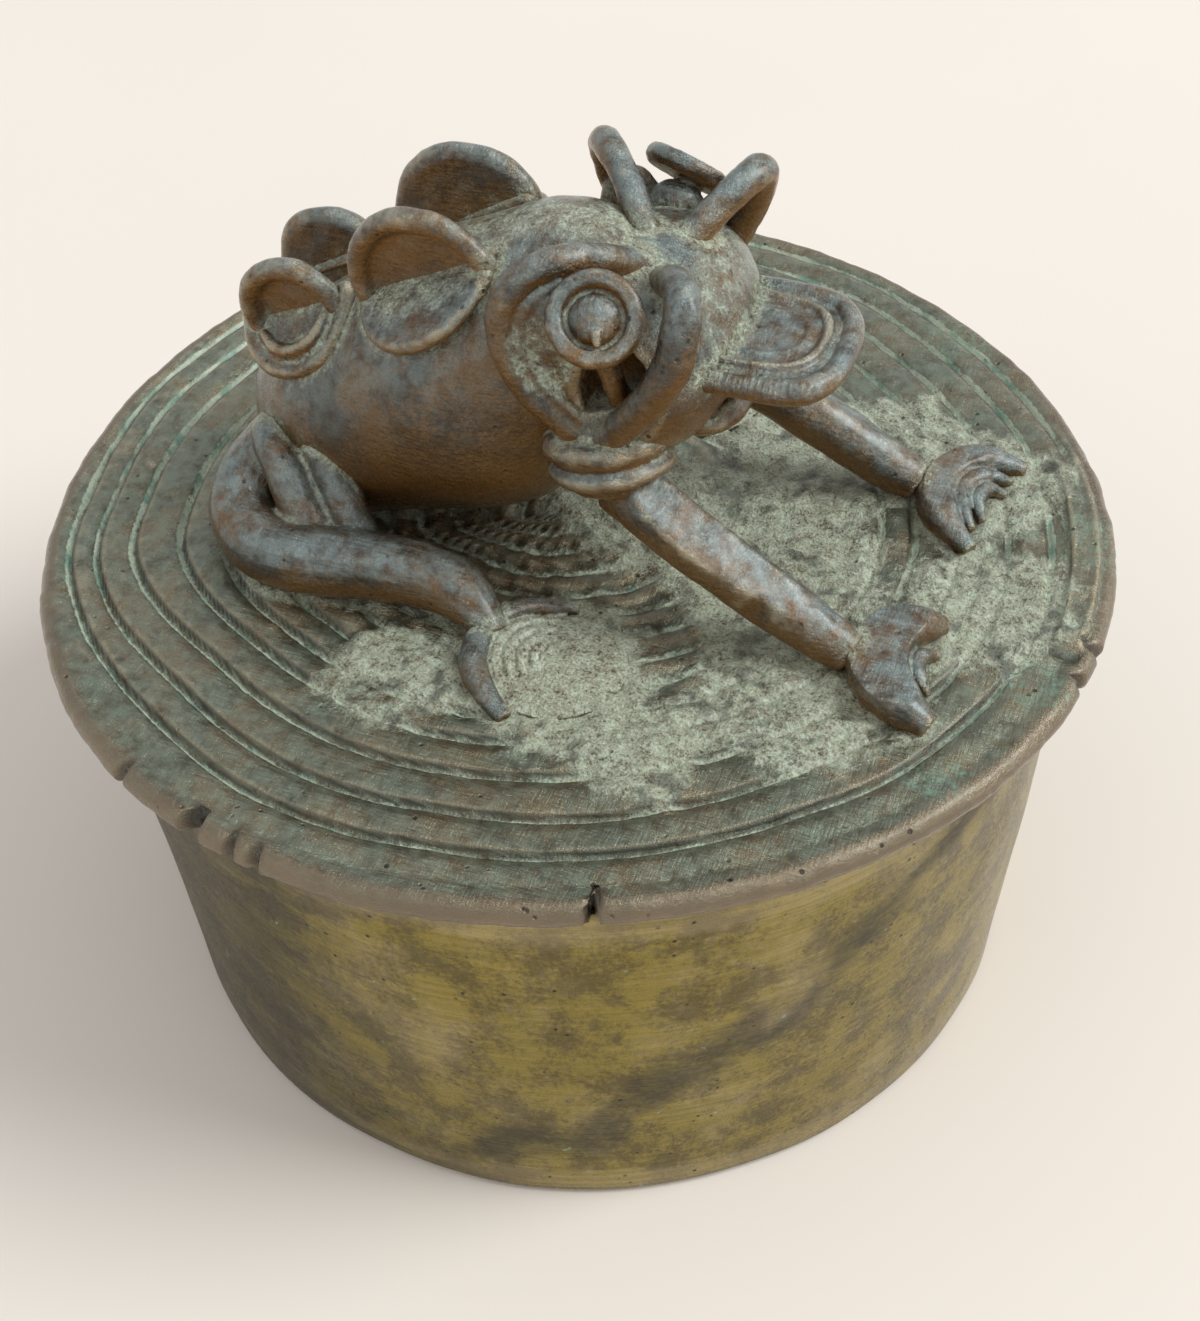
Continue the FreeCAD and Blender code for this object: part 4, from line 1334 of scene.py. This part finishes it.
class FROGBOX_OT_finish(bpy.types.Operator):
    """Reads hollows, edges and joins off the pieces and gives them their metals"""

    bl_idname = "frogbox.finish"
    bl_label = "Patina"

    def execute(self, context):
        pieces = [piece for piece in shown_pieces() if "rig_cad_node" not in piece]
        for piece in pieces:
            self.read_surface(piece)
        for piece in pieces:
            self.read_joins(piece, [other for other in pieces if other is not piece])
        self.stain_and_shade_cup(bpy.data.objects["box_cup"])
        groups = {"weathering": weathering(), "marks": hand_marks()}
        colours = context.scene.frogbox_colours
        made = {slot: make(groups, colours) for slot, make in MATERIALS.items()}
        for piece in pieces:
            piece.data.materials.clear()
            piece.data.materials.append(made[piece["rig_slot"]])
        return {"FINISHED"}

    def read_surface(self, piece):
        stands = relief(piece, RELIEF_ROUNDS)
        painted(piece, "hollow", np.clip(-stands / HOLLOW_DEPTH, 0, 1))
        painted(piece, "edge", np.clip(stands / EDGE_HEIGHT, 0, 1))
        painted(piece, "sky", normals_of(piece)[:, 2])

    def read_joins(self, piece, others):
        points = points_of(piece)
        near = np.full(len(points), JOIN_REACH)
        low, high = points.min(0) - JOIN_REACH, points.max(0) + JOIN_REACH
        for other in others:
            reach = points_of(other)
            least, most = reach.min(0), reach.max(0)
            if piece["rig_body"] != other["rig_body"] or (most < low).any() or (least > high).any():
                continue
            inside = np.all((points > least - JOIN_REACH) & (points < most + JOIN_REACH), axis=1)
            tree = BVHTree.FromObject(other, bpy.context.evaluated_depsgraph_get())
            for index in np.flatnonzero(inside):
                found = tree.find_nearest(Vector(points[index]) * MM, JOIN_REACH * MM)
                if found[3] is not None:
                    near[index] = min(near[index], found[3] / MM)
        painted(piece, "join", 1 - soft_step(near, 0.1, JOIN_REACH))

    def stain_and_shade_cup(self, cup):
        points = points_of(cup)
        turn = np.degrees(np.arctan2(points[:, 1], points[:, 0])) % 360
        height = points[:, 2]
        ragged = layers(points, STREAK_RAGGED)
        off_streak = (turn - STREAK_TURN - STREAK_LEAN * height + ragged) / STREAK_WIDTH
        streak = np.exp(-off_streak ** 2) * soft_step(height, 0, 6)
        foot = 1 - soft_step(height, 0.3, 2.5)
        # Painted shade under the lid's overhang.
        lid_shade = soft_step(height, 34, 37)
        # Painted shade on the side away from the key lamp.
        left = soft_step(np.cos(np.radians(turn - SHADED_SIDE)), 0.45, 0.95)
        inside = np.hypot(points[:, 0], points[:, 1]) < 35.2 - 0.06 * (37 - height)
        # Real stain streaks, darker towards the foot and inside the cup, with the painted shade under the lid
        # and on the far side.
        stain_and_shade = 0.75 * streak + 0.4 * foot + 0.3 * lid_shade + left + 0.5 * inside
        painted(cup, "stain_and_shade", np.clip(stain_and_shade, 0, 1))


# Stage

CAMERA_PLACE = (43.35, -107.29, 136.63)
CAMERA_RIGHT, CAMERA_UP = (0.9394, 0.3417, -0.0282), (-0.2209, 0.6661, 0.7124)
CAMERA_LENS, CAMERA_NEAR = 54.5, 0.01
FLOOR_SIZE = 4
KEY_PLACE, KEY_SIZE = (1800, 500, 1800), 1.4
FILL_PLACE, FILL_SIZE = (-260, -420, 360), 0.5
KEY_TINT, FILL_TINT, SKY_TINT = (0.97, 0.99, 1.0), (1.0, 0.97, 0.93), (0.97, 0.98, 1.0, 1.0)


class FROGBOX_OT_stage(bpy.types.Operator):
    """Sets the pale floor, the soft lamps and the camera"""

    bl_idname = "frogbox.stage"
    bl_label = "Stage"

    def execute(self, context):
        values = context.scene.frogbox_stage
        colours = context.scene.frogbox_colours
        focus()
        bpy.ops.mesh.primitive_plane_add(size=FLOOR_SIZE)
        floor = taken("floor")
        floor.data.materials.append(self.floor_finish(colours.floor))
        floor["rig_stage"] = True
        self.lamp("key", KEY_PLACE, KEY_SIZE, values.key_power, KEY_TINT)
        self.lamp("fill", FILL_PLACE, FILL_SIZE, values.fill_power, FILL_TINT)
        world = bpy.data.worlds.new("soft_sky")
        world.use_nodes = True
        sky = world.node_tree.nodes["Background"]
        sky.inputs["Color"].default_value = SKY_TINT
        sky.inputs["Strength"].default_value = values.sky_level
        context.scene.world = world
        context.scene.view_settings.view_transform = "Standard"
        self.camera(context)
        return {"FINISHED"}

    def floor_finish(self, tone):
        material = bpy.data.materials.new("pale_floor")
        material.use_nodes = True
        wire = Wiring(material.node_tree)
        shader = material.node_tree.nodes["Principled BSDF"]
        shader.inputs["Roughness"].default_value = 0.95
        shader.inputs["Specular IOR Level"].default_value = 0.1
        shade = tuple(0.96 * channel for channel in tone)
        soft = wire.mix(wire.speckle(60, 2), opaque(shade), opaque(tone))
        material.node_tree.links.new(soft, shader.inputs["Base Color"])
        return material

    def lamp(self, name, place, size, power, tint):
        focus()
        bpy.ops.object.light_add(type="AREA", location=Vector(place) * MM)
        lamp = taken(name)
        lamp.data.shape = "DISK"
        lamp.data.size = size
        lamp.data.energy = power
        lamp.data.color = tint
        toward = Vector((0, 0, LID_TOP)) * MM - lamp.location
        lamp.rotation_euler = toward.to_track_quat("-Z", "Y").to_euler()

    def camera(self, context):
        right, up = Vector(CAMERA_RIGHT), Vector(CAMERA_UP)
        turn = Matrix((right, up, right.cross(up))).transposed().to_4x4()
        focus()
        bpy.ops.object.camera_add()
        camera = taken("camera")
        camera.matrix_world = Matrix.Translation(Vector(CAMERA_PLACE) * MM) @ turn
        camera.data.lens = CAMERA_LENS
        camera.data.clip_start = CAMERA_NEAR
        context.scene.camera = camera


class FROGBOX_PT_panel(bpy.types.Panel):
    """Lists the pieces in the order that they are made"""

    bl_idname = "FROGBOX_PT_panel"
    bl_label = "Frog Box"
    bl_space_type = "VIEW_3D"
    bl_region_type = "UI"
    bl_category = "Frog Box"

    def draw(self, context):
        layout = self.layout
        for operator in OPERATORS:
            layout.operator(operator.bl_idname)
        for attribute, values in GROUPS.items():
            box = layout.box()
            for name in values.__annotations__:
                box.prop(getattr(context.scene, attribute), name)


GROUPS = {
    "frogbox_cup": FrogBoxCup,
    "frogbox_lid": FrogBoxLid,
    "frogbox_frog": FrogBoxFrog,
    "frogbox_colours": FrogBoxColours,
    "frogbox_stage": FrogBoxStage,
}
OPERATORS = (
    FROGBOX_OT_cup, FROGBOX_OT_lid, FROGBOX_OT_collar, FROGBOX_OT_trunk, FROGBOX_OT_mouth, FROGBOX_OT_eyes,
    FROGBOX_OT_plates, FROGBOX_OT_front_legs, FROGBOX_OT_back_legs, FROGBOX_OT_finish, FROGBOX_OT_stage,
)
CLASSES = (*GROUPS.values(), *OPERATORS, FROGBOX_PT_panel)


def register():
    for kind in CLASSES:
        bpy.utils.register_class(kind)
    for attribute, values in GROUPS.items():
        setattr(bpy.types.Scene, attribute, bpy.props.PointerProperty(type=values))


def unregister():
    for attribute in GROUPS:
        delattr(bpy.types.Scene, attribute)
    for kind in reversed(CLASSES):
        bpy.utils.unregister_class(kind)


def main():
    register()
    bpy.ops.frogbox.cup()
    bpy.ops.frogbox.lid()
    bpy.ops.frogbox.collar()
    bpy.ops.frogbox.trunk()
    bpy.ops.frogbox.mouth()
    bpy.ops.frogbox.eyes()
    bpy.ops.frogbox.plates()
    bpy.ops.frogbox.front_legs()
    bpy.ops.frogbox.back_legs()
    bpy.ops.frogbox.finish()
    bpy.ops.frogbox.stage()


if __name__ == "__main__":
    main()
